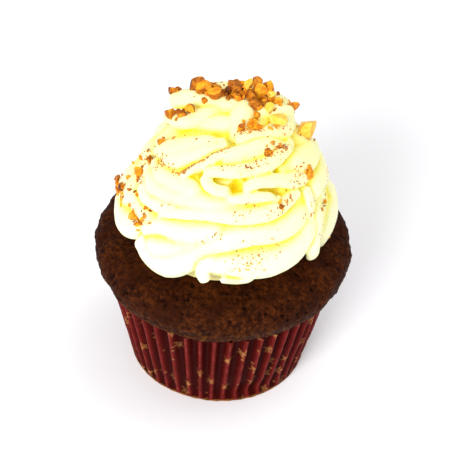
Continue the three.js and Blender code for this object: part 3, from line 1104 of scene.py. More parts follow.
@dataclass
class Cake:
    """The cake: its body in the case, and a domed top that overhangs the case's edge."""

    in_case: Rows = ((8.0, 1.0), (23.0, 1.0), (23.6, 2.0), (28.2, 28.0))
    crust: Rows = (
        (28.8, 30.9), (30.2, 31.1), (32.4, 31.25), (34.5, 33.1), (36.0, 35.9), (36.6, 38.6),
        (36.3, 40.7), (35.0, 42.4), (32.3, 43.75), (28.2, 44.65), (22.0, 45.2), (8.0, 45.6),
    )
    columns: int = 72
    levels: int = 3
    # The crust: slow swells round the cake, lumps, crumbs and holes.
    seed: int = 11
    crag: float = 0.46
    crag_turns: tuple[int, ...] = (3, 5, 9, 14, 19, 27)
    lumps: tuple[Wave, Wave] = (Wave(0.34, 5.5, 1.0), Wave(0.24, 2.2, 4.0))
    cell: float = 1.25
    cell_depth: float = 0.34
    crumbs: Wave = Wave(0.16, 0.8, 8.0)
    holes: Wave = Wave(1.0, 1.5, 12.0)
    hole_edge: tuple[float, float] = (0.38, 0.78)
    hole_depth: float = 0.65
    drop: float = 0.14
    # Between which heights, and which radii, it comes out bare.
    bare_heights: tuple[float, float] = (29.5, 32.5)
    bare_radii: tuple[float, float] = (22.0, 29.0)
    finish: CrumbFinish = field(default_factory=CrumbFinish)

    def crag_at(self, angle: np.ndarray, height: np.ndarray) -> np.ndarray:
        """The slow unevenness of the crust round the cake, from -1 to 1.

        Args:
            angle: the angle of each place round the cake.
            height: the height of each place.

        Returns:
            One number for each place.
        """
        chance = random.Random(self.seed)
        total = np.zeros_like(angle)
        for turns in self.crag_turns:
            slant, phase = chance.uniform(-0.25, 0.25), chance.uniform(0, math.tau)
            total += np.sin(turns * angle + slant * height * 2 + phase)
        return total / len(self.crag_turns)

    def relief(self, points: np.ndarray) -> tuple[np.ndarray, np.ndarray]:
        """The height of the crumb, and how deep in a pit each place is.

        Args:
            points: places on the cake, one row each.

        Returns:
            Two numbers for each place: millimetres, and a share from 0 to 1.
        """
        lumps = self.lumps[0].at(points) + self.lumps[1].at(points)
        crumbs = self.cell_depth * (0.55 - cells_at(points, self.cell)) + self.crumbs.at(points)
        holes = smooth_step(*self.hole_edge, self.holes.at(points))
        height = lumps + crumbs - self.hole_depth * holes - self.drop
        # Crumbs count for more than their height, so that the painted shade in the pits marks them off.
        pit = np.clip(0.5 - crumbs * 1.6 - lumps * 0.5 + 0.6 * holes, 0, 1)
        return height, pit

    def build(self) -> Piece:
        """The cake, dressed.

        Returns:
            The cake.
        """
        piece = raised_rings("cake_crumb", self.columns, [*self.in_case, *self.crust])
        closed_over()
        apply_modifier(piece, "SUBSURF", levels=self.levels, render_levels=self.levels)
        points = points_of(piece)
        x, y, z = points.T
        # The relief is kept off what stands in the case or lies under the cream.
        bare = smooth_step(*self.bare_heights, z) * smooth_step(*self.bare_radii, np.hypot(x, y))
        swell = self.crag * self.crag_at(np.arctan2(y, x), z) * bare
        height, pit = self.relief(points)
        move_points(piece, points + normals_of(piece) * (swell + height * bare)[:, None])
        store(piece, "pit", pit)
        smooth_shaded(piece)
        piece.data.materials.append(self.finish.material())
        return stood_for(piece, "cake")


# ---------------------------------------------------------------- cream


@dataclass(frozen=True)
class Swirl:
    """The envelope of the piped cream: a leaning shape that its folds lie on."""

    outline: Rows = (
        (26.5, 45), (31.2, 52.5), (28.6, 61.5), (24.8, 70.5), (18.4, 78.7), (9.5, 83.3), (0, 84.5),
    )
    lean: tuple[float, float] = (2.4, -1.0)
    probe: float = 0.01

    def leaning(self, point: Vector) -> Vector:
        """A point moved aside by its height.

        Args:
            point: the point on the upright shape.

        Returns:
            The point on the leaning one.
        """
        foot, top = self.outline[0][1], self.outline[-1][1]
        share = (point.z - foot) / (top - foot)
        return point + Vector((*self.lean, 0)) * share

    def at(self, azimuth: float, station: float) -> tuple[Vector, Vector]:
        """The point of the envelope at a place, and the way out of it there.

        Args:
            azimuth: degrees round from the front.
            station: the way up, from 0 to 1.

        Returns:
            The point, and the way out.
        """
        place = min(max(station, 0), 1)
        radius, height = along_knots(self.outline, place)
        low = along_knots(self.outline, max(place - self.probe, 0))
        high = along_knots(self.outline, min(place + self.probe, 1))
        sine, cosine = math.sin(math.radians(azimuth)), math.cos(math.radians(azimuth))
        rise = high[1] - low[1]
        out = Vector((rise * sine, -rise * cosine, low[0] - high[0])).normalized()
        return self.leaning(Vector((radius * sine, -radius * cosine, height))), out


@dataclass(frozen=True)
class SideFold:
    """A fold on the side of the swirl: knots are (azimuth, station, half width).

    It lies so many millimetres proud of the envelope, and its two ends sink
    into it by so many half widths.
    """

    knots: Rows
    lift: float = 0.0
    sink: tuple[float, float] = (0.7, 0.9)


@dataclass(frozen=True)
class BackRound:
    """A round of like folds on the back, each climbing from one station to the next."""

    start: float
    end: float
    low: float
    high: float
    half: float
    folds: int = 4
    overlap: float = 1.8
    lift: float = 0.0
    climb: float = 0.8
    swell: Rows = ((0, 0.5), (0.35, 1.1), (0.7, 0.95), (1, 0.6))

    def side_folds(self) -> list[SideFold]:
        """The round's folds.

        Returns:
            One fold after the other, each overlapping the next.
        """
        pitch = (self.end - self.start) / self.folds
        rise = self.high - self.low
        folds = []
        for i in range(self.folds):
            knots = tuple(
                (
                    self.start + pitch * (i + self.overlap * share),
                    self.low + rise * share**self.climb,
                    self.half * swell,
                )
                for share, swell in self.swell
            )
            folds.append(SideFold(knots, self.lift))
        return folds


SIDE_FOLDS = (
    # The lowest round, from the left to the right.
    SideFold(((-99, 0.17, 1.9), (-86, 0.15, 2.8), (-67, 0.21, 3), (-47, 0.3, 1.8)), 0, (0.3, 0.9)),
    SideFold(((-106, 0.24, 1.4), (-74, 0.335, 1.7), (-56, 0.345, 1.7), (-42, 0.375, 1.2))),
    SideFold(((-73, 0.45, 1.3), (-58, 0.43, 1.6), (-37, 0.43, 1.2))),
    SideFold(
        (
            (-48, 0.225, 2.1), (-36, 0.18, 4.2), (-22, 0.265, 4), (-8, 0.36, 3.1),
            (13, 0.412, 3.2), (33, 0.402, 3.1), (52, 0.416, 2.5), (66, 0.435, 1.8),
        ),
        0.3, (0, 0.9),
    ),
    SideFold(
        ((-49, 0.3, 1.6), (-39, 0.365, 2.8), (-26, 0.38, 3.8), (-9, 0.405, 3.5), (5, 0.425, 2.2)),
        0.2, (0, 0.9),
    ),
    SideFold(
        ((-47, 0.25, 2.2), (-39, 0.262, 3.1), (-29, 0.295, 3.4), (-18, 0.34, 3), (-7, 0.385, 2.4)),
        0.1, (0.3, 0.9),
    ),
    SideFold(
        (
            (-7, 0.27, 2.2), (5, 0.27, 2.9), (21, 0.26, 3.8),
            (38, 0.282, 3.8), (51, 0.342, 3.1), (60, 0.42, 1.8),
        ),
        0.8, (0, 0.9),
    ),
    SideFold(((-1, 0.275, 1.9), (-8, 0.265, 1.7), (-10, 0.22, 1.6), (-8.5, 0.175, 1.3)), 1, (0.3, 0)),
    SideFold(((0.5, 0.12, 0.8), (9.5, 0.075, 1.1), (18.5, 0.117, 1.1)), -1, (0, 0.9)),
    SideFold(((56, 0.11, 1.5), (54, 0.22, 2), (59, 0.32, 2), (66, 0.39, 1.6)), 0.2, (0, 0.9)),
    SideFold(((70, 0.1, 2.8), (85, 0.16, 3), (97, 0.23, 2.4), (102, 0.35, 1.9)), 0, (0, 0.9)),
    SideFold(((48, 0.31, 0.9), (55, 0.4, 1.2), (61, 0.5, 1.2))),
    # Where the lowest round rolls under, onto the cake.
    SideFold(((-106, 0.02, 2), (-92, 0.02, 2.4), (-74, 0.02, 2.4), (-58, 0.03, 1.9)), -2.4, (0, 0)),
    SideFold(((-50, 0.02, 2), (-40, 0.02, 2.3), (-28, 0.02, 2.2), (-17, 0.02, 1.7)), -3, (0, 0)),
    SideFold(((13, 0.02, 1.5), (24, 0.02, 2.1), (37, 0.02, 2.2), (50, 0.03, 1.8)), -3, (0, 0)),
    SideFold(((61, 0.03, 1.8), (74, 0.02, 2.3), (90, 0.02, 2.4)), -2.4, (0, 0)),
    # The middle round.
    SideFold(
        (
            (-42.5, 0.383, 0.9), (-38, 0.437, 1.2), (-15, 0.495, 1.6),
            (7, 0.497, 1.9), (28, 0.498, 1.9), (50, 0.528, 1.5),
        ),
        0.4, (0.9, 0.9),
    ),
    SideFold(((-69, 0.41, 1.2), (-56, 0.425, 1.7), (-41, 0.46, 1.6), (-26, 0.5, 1.2))),
    SideFold(((-78, 0.5, 1.9), (-58, 0.5, 2.8), (-36, 0.53, 3.3), (-13, 0.54, 2.3), (22, 0.555, 1.3))),
    SideFold(((-74, 0.55, 1.6), (-51, 0.558, 2.3), (-35, 0.572, 2.3), (-16, 0.568, 1.1)), 0, (0.7, 1.2)),
    SideFold(((-4, 0.57, 1.1), (10, 0.575, 1.3), (24, 0.568, 1.1), (36, 0.545, 0.6)), 0, (0.7, 0.8)),
    SideFold(
        ((11, 0.62, 1.2), (21, 0.635, 1.3), (36, 0.62, 1.6), (55, 0.58, 1.9), (72, 0.565, 1.9)),
        0.3, (0.4, 0.9),
    ),
    SideFold(((47, 0.65, 1.9), (73, 0.61, 3.2), (99, 0.565, 2.9), (114, 0.545, 2.1))),
    SideFold(((62, 0.45, 1.6), (79, 0.475, 2.1), (103, 0.45, 2.1))),
    # The curl at the front, and its tail.
    SideFold(
        ((-3, 0.6, 1.2), (-14, 0.605, 1.25), (-21, 0.635, 1.2), (-18, 0.676, 1.3), (8, 0.698, 1.7)),
        0.5, (0.5, 0),
    ),
    SideFold(((5, 0.7, 1.7), (31, 0.71, 1.9), (53, 0.72, 1.6), (77, 0.725, 1.3)), 0.4, (0, 0.9)),
    # The upper round.
    SideFold(((-72, 0.6, 1.9), (-59, 0.65, 2.7), (-42, 0.74, 2.1), (-20, 0.83, 1.2))),
    SideFold(((-132, 0.4, 2.6), (-112, 0.44, 2.8), (-96, 0.48, 2.6), (-84, 0.51, 2)), -1.2),
    SideFold(((-84, 0.58, 1.6), (-74, 0.63, 2.6), (-62, 0.7, 3.3), (-46, 0.785, 2.6), (-24, 0.84, 1.3))),
    SideFold(((-41, 0.61, 0.8), (-31, 0.68, 1.1), (-12, 0.77, 1.2), (29, 0.81, 1.3), (69, 0.795, 1.3)), 0.3),
    SideFold(((-18, 0.72, 0.9), (-3, 0.765, 2), (39, 0.79, 2.4), (84, 0.735, 1.9)), 0, (2, 0.9)),
)

BACK_ROUNDS = (
    BackRound(88, 262, 0.08, 0.38, 5.1),
    BackRound(80, 222, 0.36, 0.53, 4.2, lift=-0.4),
    BackRound(75, 228, 0.55, 0.77, 3.8, lift=-1.2),
)

# Folds on the crown: knots are (x, y, z, half width).
CROWN_FOLDS: tuple[Rows, ...] = (
    ((-17.2, 2.6, 80.2, 0.7), (-12.4, 1.3, 80, 2.3), (-7.1, 2.4, 80.5, 2.6), (-1.9, 5.5, 81.5, 2.4)),
    ((-14.3, 8.3, 81.6, 2.2), (-10.5, 8.5, 82.1, 2.7), (-5, 7.5, 82.4, 2.7), (1, 5, 82.2, 2.6)),
    ((2.6, -5, 79.6, 1.6), (3, -1.5, 81, 2.6), (3.4, 2.5, 82, 2.9), (5, 7, 82, 2.6)),
    ((4, -5.5, 79.8, 2.6), (10, -4.5, 80, 2.8), (14.5, 1, 80, 2.8), (13.5, 8, 80, 2.8)),
    ((14, 8.6, 80.8, 2.8), (7, 12.4, 81.9, 2.8), (-3, 12.8, 81.8, 2.7), (-10, 10.8, 80.9, 2.4)),
    ((9, 4.2, 82.4, 1.9), (12.5, 4.8, 82.6, 2.0), (16, 5.3, 81.8, 1.8)),
    ((-7.5, 1.5, 79.6, 2.4), (-3.5, 0.8, 80, 2.6), (0.5, 0, 80.6, 2.6)),
    ((5.5, -0.5, 79, 2.2), (8, 2, 79.6, 2.6), (9.5, 6, 80, 2.4)),
)

# A route's centre, way out and half width at a place from 0 to 1.
Route = Callable[[float], tuple[Vector, Vector, float]]


@dataclass(frozen=True)
class Pit:
    """A small pit between the folds."""

    azimuth: float
    station: float
    radius: float
    depth: float
    edge: float = 1.3
    reach: float = 6.0
    wobble: Wave = Wave(0.3, 2.0, 17.0)

    def sunk(self, points: np.ndarray, swirl: Swirl) -> np.ndarray:
        """The places, those in the pit moved inward.

        Args:
            points: the places, one row each.
            swirl: the envelope that the pit is placed on.

        Returns:
            The moved places.
        """
        centre, out = (np.array(way) for way in swirl.at(self.azimuth, self.station))
        offset = points - centre
        along = offset @ out
        aside = np.sqrt(np.maximum((offset**2).sum(axis=1) - along**2, 0))
        aside *= 1 + self.wobble.at(points)
        share = np.clip(1 - (aside / self.radius) ** 2, 0, 1) ** self.edge
        share *= np.abs(along) < self.reach
        return points - out * (self.depth * share)[:, None]


@dataclass
class CreamSwirl:
    """The swirl of piped cream: folds drawn along their routes over a core, made one."""

    swirl: Swirl = field(default_factory=Swirl)
    # The core: how deep it lies under the envelope, as (station, millimetres).
    core_depth: Rows = (
        (0, 3.2), (0.1, 3.2), (0.2, 2.4), (0.5, 2.4), (0.62, 3), (0.72, 3.6), (0.8, 4.2),
        (0.9, 5), (1, 5),
    )
    core_rows: int = 30
    core_columns: int = 96
    # A fold: its section, and how finely it is drawn.
    breadth: float = 1.25
    flatness: float = 0.9
    keel: float = 0.12
    skew: float = 0.35
    sink_share: float = 0.25
    sides: int = 24
    ring_step: float = 0.7
    route_steps: int = 32
    probe: float = 0.02
    # The joined skin: what fills its creases, what sharpens them, and its pits.
    voxel: float = 0.405
    smoothing: int = 2
    ripples: tuple[Wave, Wave] = (Wave(0.09, 3.2, 2.0), Wave(0.05, 1.1, 5.0))
    slack: float = 0.15
    slack_rounds: int = 47
    crisp: tuple[float, float] = (0.8, 0.15)
    crisp_rounds: int = 6
    pits: tuple[Pit, ...] = (
        Pit(3, 0.62, 2.4, 3.0), Pit(35, 0.572, 2.3, 1.8),
        Pit(-28, 0.65, 1.6, 1.8), Pit(-2, 0.17, 1.4, 3.0),
    )
    # What the material reads: rounds of evening, for its painted shade in creases and hollows, and the reach
    # and weight of what lies on it.
    marks: tuple[tuple[str, int], ...] = (("line", 3), ("crease", 11), ("hollow", 87))
    shut_reach: float = 7.0
    shut_start: float = 0.1
    shut_rounds: int = 3
    dust_mark: tuple[float, float] = (0.8, 0.35)
    roast_mark: tuple[float, float] = (1.7, 0.6)
    finish: CreamFinish = field(default_factory=CreamFinish)

    def fold(self, route: Route) -> Piece:
        """A ball drawn out along a route, with rounded ends.

        Args:
            route: gives the centre, the way out and the half width, at t from 0 to 1.

        Returns:
            The fold.
        """
        centres = [route(i / self.route_steps)[0] for i in range(self.route_steps + 1)]
        length = sum((b - a).length for a, b in zip(centres, centres[1:]))
        start_half, end_half = route(0)[2], route(1)[2]
        total = length + start_half + end_half
        rings = max(12, round(total / self.ring_step))
        deselect_all()
        bpy.ops.mesh.primitive_uv_sphere_add(segments=self.sides, ring_count=rings, radius=1)
        piece = bpy.context.object
        frames = []
        for ring in range(rings + 1):
            way = total * ring / rings
            t = min(max((way - start_half) / length, 0), 1)
            centre, out, half = route(t)
            before, after = route(max(t - self.probe, 0))[0], route(min(t + self.probe, 1))[0]
            along = (after - before).normalized()
            across = along.cross(out).normalized()
            outward = across.cross(along)
            end = min(1, way / half, (total - way) / half)
            width = half * math.sqrt(max(end * (2 - end), 0))
            middle = centre + along * (way - start_half - t * length)
            frames.append([*middle, *outward, *across, width, -self.skew * across.z])
        # Each ring of the ball, from pole to pole, is laid out in its frame.
        frames = np.array(frames)
        ball = points_of(piece) * MM
        ring = np.rint(np.arccos(np.clip(ball[:, 2], -1, 1)) / math.pi * rings).astype(int)
        turn = np.arctan2(ball[:, 1], ball[:, 0])
        row = frames[ring]
        middle, outward, across, width, lean = np.split(row, (3, 6, 9, 10), axis=1)
        width = width[:, 0] * (1 + self.keel * np.maximum(np.cos(turn), 0) ** 3)
        rise = width * np.cos(turn) * self.flatness
        aside = self.breadth * width * np.sin(turn) + lean[:, 0] * rise
        move_points(piece, middle + outward * rise[:, None] + across * aside[:, None])
        return piece

    def side_fold(self, fold: SideFold) -> Piece:
        """A fold that lies on the side of the swirl.

        Args:
            fold: the knots and ends of the fold.

        Returns:
            The fold.
        """

        def route(t: float) -> tuple[Vector, Vector, float]:
            """The fold's place at t.

            Args:
                t: the way along it, from 0 to 1.

            Returns:
                The centre, the way out and the half width.
            """
            azimuth, station, half = along_knots(fold.knots, t)
            point, out = self.swirl.at(azimuth, station)
            sunk = fold.sink[0] * smooth_step(self.sink_share, 0, t)
            sunk += fold.sink[1] * smooth_step(1 - self.sink_share, 1, t)
            return point + out * (fold.lift - half * (1 + sunk)), out, half

        return self.fold(route)

    def crown_fold(self, knots: Rows) -> Piece:
        """A fold that lies on the crown.

        Args:
            knots: its knots, (x, y, z, half width) each.

        Returns:
            The fold.
        """

        def route(t: float) -> tuple[Vector, Vector, float]:
            """The fold's place at t.

            Args:
                t: the way along it, from 0 to 1.

            Returns:
                The centre, the way out and the half width.
            """
            *centre, half = along_knots(knots, t)
            return Vector(centre), Vector((0, 0, 1)), half

        return self.fold(route)

    def core(self) -> Piece:
        """The body that the folds lie on.

        Returns:
            The core.
        """
        rows = []
        for i in range(self.core_rows):
            station = i / self.core_rows
            depth = look_up(self.core_depth, station)
            radius, height = along_knots(self.swirl.outline, station)
            _, out = self.swirl.at(90, station)
            rows.append((radius - out.x * depth, height - out.z * depth))
        # One more ring, a millimetre down, lets the core's foot reach into the cake.
        foot = (rows[0][0], rows[0][1] - 1)
        piece = raised_rings("core", self.core_columns, [foot, *rows])
        closed_over()
        move_points(piece, np.array([self.swirl.leaning(Vector(p)) for p in points_of(piece)]))
        return piece

    def joined(self, parts: Sequence[Piece]) -> Piece:
        """The parts made one skin, without what lies inside it.

        Args:
            parts: the core and the folds, which are used up.

        Returns:
            The joined piece.
        """
        deselect_all()
        for part in parts:
            part.select_set(True)
        bpy.context.view_layer.objects.active = parts[0]
        bpy.ops.object.join()
        piece = bpy.context.object
        piece.name = piece.data.name = "cream_swirl"
        apply_modifier(piece, "REMESH", mode="VOXEL", voxel_size=self.voxel * MM)
        # Only the outer skin stays: what is linked to its highest point.
        top = int(np.argmax(points_of(piece)[:, 2]))
        bpy.ops.object.mode_set(mode="EDIT")
        bpy.ops.mesh.select_mode(type="VERT")
        bpy.ops.mesh.select_all(action="DESELECT")
        shell = bmesh.from_edit_mesh(piece.data)
        shell.verts.ensure_lookup_table()
        shell.verts[top].select_set(True)
        shell.select_flush(True)
        bpy.ops.mesh.select_linked()
        bpy.ops.mesh.select_all(action="INVERT")
        bpy.ops.mesh.delete(type="VERT")
        bpy.ops.object.mode_set(mode="OBJECT")
        apply_modifier(piece, "SMOOTH", factor=0.5, iterations=self.smoothing)
        return piece

    def build(self) -> Piece:
        """The swirl, undressed: its material waits for what is strewn on it.

        Returns:
            The swirl.
        """
        back = [fold for back_round in BACK_ROUNDS for fold in back_round.side_folds()]
        parts = [self.core()]
        parts += [self.side_fold(fold) for fold in (*SIDE_FOLDS, *back)]
        parts += [self.crown_fold(knots) for knots in CROWN_FOLDS]
        piece = self.joined(parts)
        points = points_of(piece)
        ripple = self.ripples[0].at(points) + self.ripples[1].at(points)
        slack = self.slack * np.clip(hollowness(piece, self.slack_rounds), 0, 2)
        dip = hollowness(piece, self.crisp_rounds)
        crisp = np.where(dip > 0, self.crisp[0], self.crisp[1]) * np.clip(dip, -0.3, 0.6)
        points += normals_of(piece) * (ripple + slack - crisp)[:, None]
        for pit in self.pits:
            points = pit.sunk(points, self.swirl)
        move_points(piece, points)
        for name, rounds in self.marks:
            store(piece, name, hollowness(piece, rounds))
        smooth_shaded(piece)
        return piece

    def enclosure(self, piece: Piece, tree: BVHTree) -> np.ndarray:
        """How closely other folds shut each place in, from 0 to 1, where the material paints shade.

        Args:
            piece: the swirl.
            tree: the swirl's faces.

        Returns:
            A number for each vertex: the mean over five ways out of the cream.
        """
        reach = self.shut_reach * MM
        shut = np.zeros(len(piece.data.vertices))
        for vertex in piece.data.vertices:
            normal = vertex.normal
            start = vertex.co + normal * self.shut_start * MM
            across = normal.cross(Vector((0, 0, 1))).normalized()
            rise = across.cross(normal)
            ways = (normal, normal + rise, normal - rise, normal + across, normal - across)
            for way in ways:
                distance = tree.ray_cast(start, way, reach)[3]
                if distance is not None:
                    shut[vertex.index] += (1 - distance / reach) / len(ways)
        return evened(piece, shut, self.shut_rounds)

    def dress(
        self, piece: Piece, tree: BVHTree, specks: Sequence[Vector], chips: Sequence[Vector]
    ) -> Piece:
        """Stores where the swirl is shut in, for painted shade, and what lies on it, and gives it its
        material.

        Args:
            piece: the swirl.
            tree: the swirl's faces.
            specks: the places of the specks of dust, in millimetres.
            chips: the places of the chips of nut, in millimetres.

        Returns:
            The swirl.
        """
        store(piece, "shut", self.enclosure(piece, tree))
        store(piece, "dust", nearness(points_of(piece), specks, *self.dust_mark))
        store(piece, "roast", nearness(points_of(piece), chips, *self.roast_mark))
        piece.data.materials.append(self.finish.material())
        return stood_for(piece, "cream")


# ---------------------------------------------------------------- toppings


@dataclass(frozen=True)
class Chip:
    """A chip of nut that shows by itself: where it is on the swirl, and its size."""

    azimuth: float
    station: float
    size: float
    tone: NutTone


@dataclass(frozen=True)
class CrownChip:
    """A chip of nut on the crown: where it fell, its size, and how far it is drawn out upward."""

    x: float
    y: float
    size: float
    tone: NutTone
    tall: float = 1.0


@dataclass(frozen=True)
class Trail:
    """A line of dust over the swirl, along places given as (azimuth, station).

    It strays from them by its spread, and so many specks lie in one clump.
    """

    places: Rows
    specks: int
    spread: float = 1.0
    clump: int = 2


B, A, P = NutTone.BROWN, NutTone.AMBER, NutTone.PALE
CHIPS = tuple(Chip(*row) for row in (
    (-82, 0.63, 2.1, A), (65, 0.58, 3.2, A), (-100, 0.22, 3.2, B), (-82, 0.32, 2.1, B),
    (-81, 0.53, 2.4, B), (-81, 0.43, 2.9, A), (-59, 0.32, 3.4, A), (-56, 0.3, 2.4, B),
))
CROWN_CHIPS = tuple(CrownChip(*row) for row in (
    # The cluster at the back of the crown.
    (-8.1, 11, 4.9, B, 1.1), (-6.8, 8.7, 3.6, A), (-3.9, 10.6, 3.3, A, 1.2), (-4.6, 6.9, 3.7, A),
    (-2.2, 7.1, 2.7, B), (-0.6, 10.1, 3.1, B), (1.8, 11.3, 3.6, B), (3.4, 8.9, 2.8, B),
    (0.8, 8.6, 2.6, A), (4.4, 11.3, 3.2, P, 1.8), (5.2, 8.4, 2.9, A), (7.4, 12.8, 3.9, P, 1.6),
    (8, 9.3, 3.9, A), (10.6, 12.4, 3.2, A, 1.3), (10.4, 9.9, 2.9, A), (6.3, 6.2, 3.1, B),
    (7.6, 3.6, 3.4, B), (9.2, 6.8, 2.8, A), (11.3, 7.3, 3, A), (13.3, 6.3, 3.2, A),
    (2.2, 6.6, 2.4, A), (11.6, 9.2, 2.4, P),
    # Round it: on the right, in front and on the left.
    (17.1, 7.2, 3, A), (20.8, 3.3, 5.2, P), (13, -2, 4, P), (10.8, 2.2, 3, P),
    (5.9, -2.2, 2.6, A), (3.7, -3.7, 2.1, A), (8.2, -3.4, 2.1, A), (-15.2, 2.1, 3.4, A),
    (-12.8, 1.2, 3.2, B), (-10.3, 1.4, 2.9, A), (-15.4, 9.8, 2.3, B),
))

# Where crumbs lie on the side: (azimuth, station, how many millimetres they stray).
CRUMB_SPOTS: Rows = (
    (-100, 0.22, 2.5), (-88, 0.26, 1.2), (-82, 0.32, 2), (-82, 0.43, 1.8), (-77, 0.42, 1.5),
    (-81, 0.53, 1.5), (-91, 0.49, 2), (-82, 0.63, 1.5), (-60, 0.31, 1.2), (-56, 0.3, 1.8),
    (-52, 0.35, 1.2), (38, 0.75, 1.2), (53, 0.75, 1.4), (35, 0.51, 0.8), (64, 0.59, 1.2),
    (75, 0.3, 1.5), (78, 0.08, 1),
)

TRAILS = (
    # Down the upper round's crease, and along the curl.
    Trail(((-70, 0.597), (-55, 0.6), (-45, 0.605), (-37, 0.655)), 110, 0.6, 4),
    Trail(((-45, 0.602), (-37, 0.658), (-30, 0.71), (-23, 0.76), (-12, 0.796), (3, 0.834)), 260, 0.3),
    Trail(((7, 0.702), (19, 0.715), (32, 0.724), (48, 0.73), (64, 0.724)), 110, 1.2, 4),
    Trail(((34, 0.742), (46, 0.752), (58, 0.742)), 130, 0.9, 14),
    Trail(((-15, 0.686), (-5, 0.704), (6, 0.693)), 20, 0.6),
    # Across the middle.
    Trail(((2, 0.496), (8, 0.509), (13, 0.524), (18, 0.533)), 45, 0.9),
    Trail(((20, 0.491), (28, 0.496), (37, 0.508), (43, 0.533), (50, 0.537)), 70, 1.1),
    Trail(((-44, 0.445), (-40, 0.468), (-36, 0.486)), 14, 0.4),
    # On the lowest round.
    Trail(((1, 0.28), (8, 0.304), (16, 0.293), (25, 0.316), (32, 0.298)), 110, 2.0),
    Trail(((2, 0.242), (11, 0.229), (19, 0.268), (17, 0.203)), 60, 1.6),
    Trail(((-16, 0.356), (-11, 0.376), (-6, 0.392), (-1, 0.416)), 24, 0.6),
    # Down the left side.
    Trail(((-83, 0.529), (-72, 0.56), (-63, 0.574), (-69, 0.605)), 80, 1.0, 6),
    Trail(((-84, 0.423), (-73, 0.442), (-65, 0.433)), 70, 1.0, 6),
    Trail(((-67, 0.3), (-59, 0.308), (-53, 0.311), (-48, 0.34)), 120, 1.0, 6),
    Trail(((-100, 0.216), (-82, 0.315)), 40, 1.0),
    # Down the right side.
    Trail(((59, 0.615), (52, 0.589), (46, 0.587)), 30, 1.0),
    Trail(((88, 0.475), (88, 0.355), (76, 0.3), (66, 0.288), (59, 0.249)), 60, 1.4),
    Trail(((61, 0.496), (58, 0.427), (49, 0.388)), 30, 1.4),
    Trail(((56, 0.268), (61, 0.228)), 22, 0.7),
    # On the crown.
    Trail(((-13, 0.904), (23, 0.918), (59, 0.898), (57, 0.861)), 70, 1.0),
    Trail(((92, 0.74), (76, 0.774)), 25, 1.2),
    Trail(((-142, 0.7), (-148, 0.75), (-144, 0.816)), 40, 1.2),
    Trail(((160, 0.75), (180, 0.8), (-160, 0.78)), 120, 2.2),
    # Thinly over the back.
    Trail(((100, 0.3), (140, 0.5), (180, 0.35), (220, 0.5), (255, 0.4)), 150, 3.5),
    Trail(((100, 0.6), (140, 0.72), (190, 0.62), (240, 0.66)), 110, 2.5),
)


# On the swirl's side a millimetre is about so many degrees round, and so much of a station.
DEGREES_PER_MM = 2.0
STATION_PER_MM = 0.018


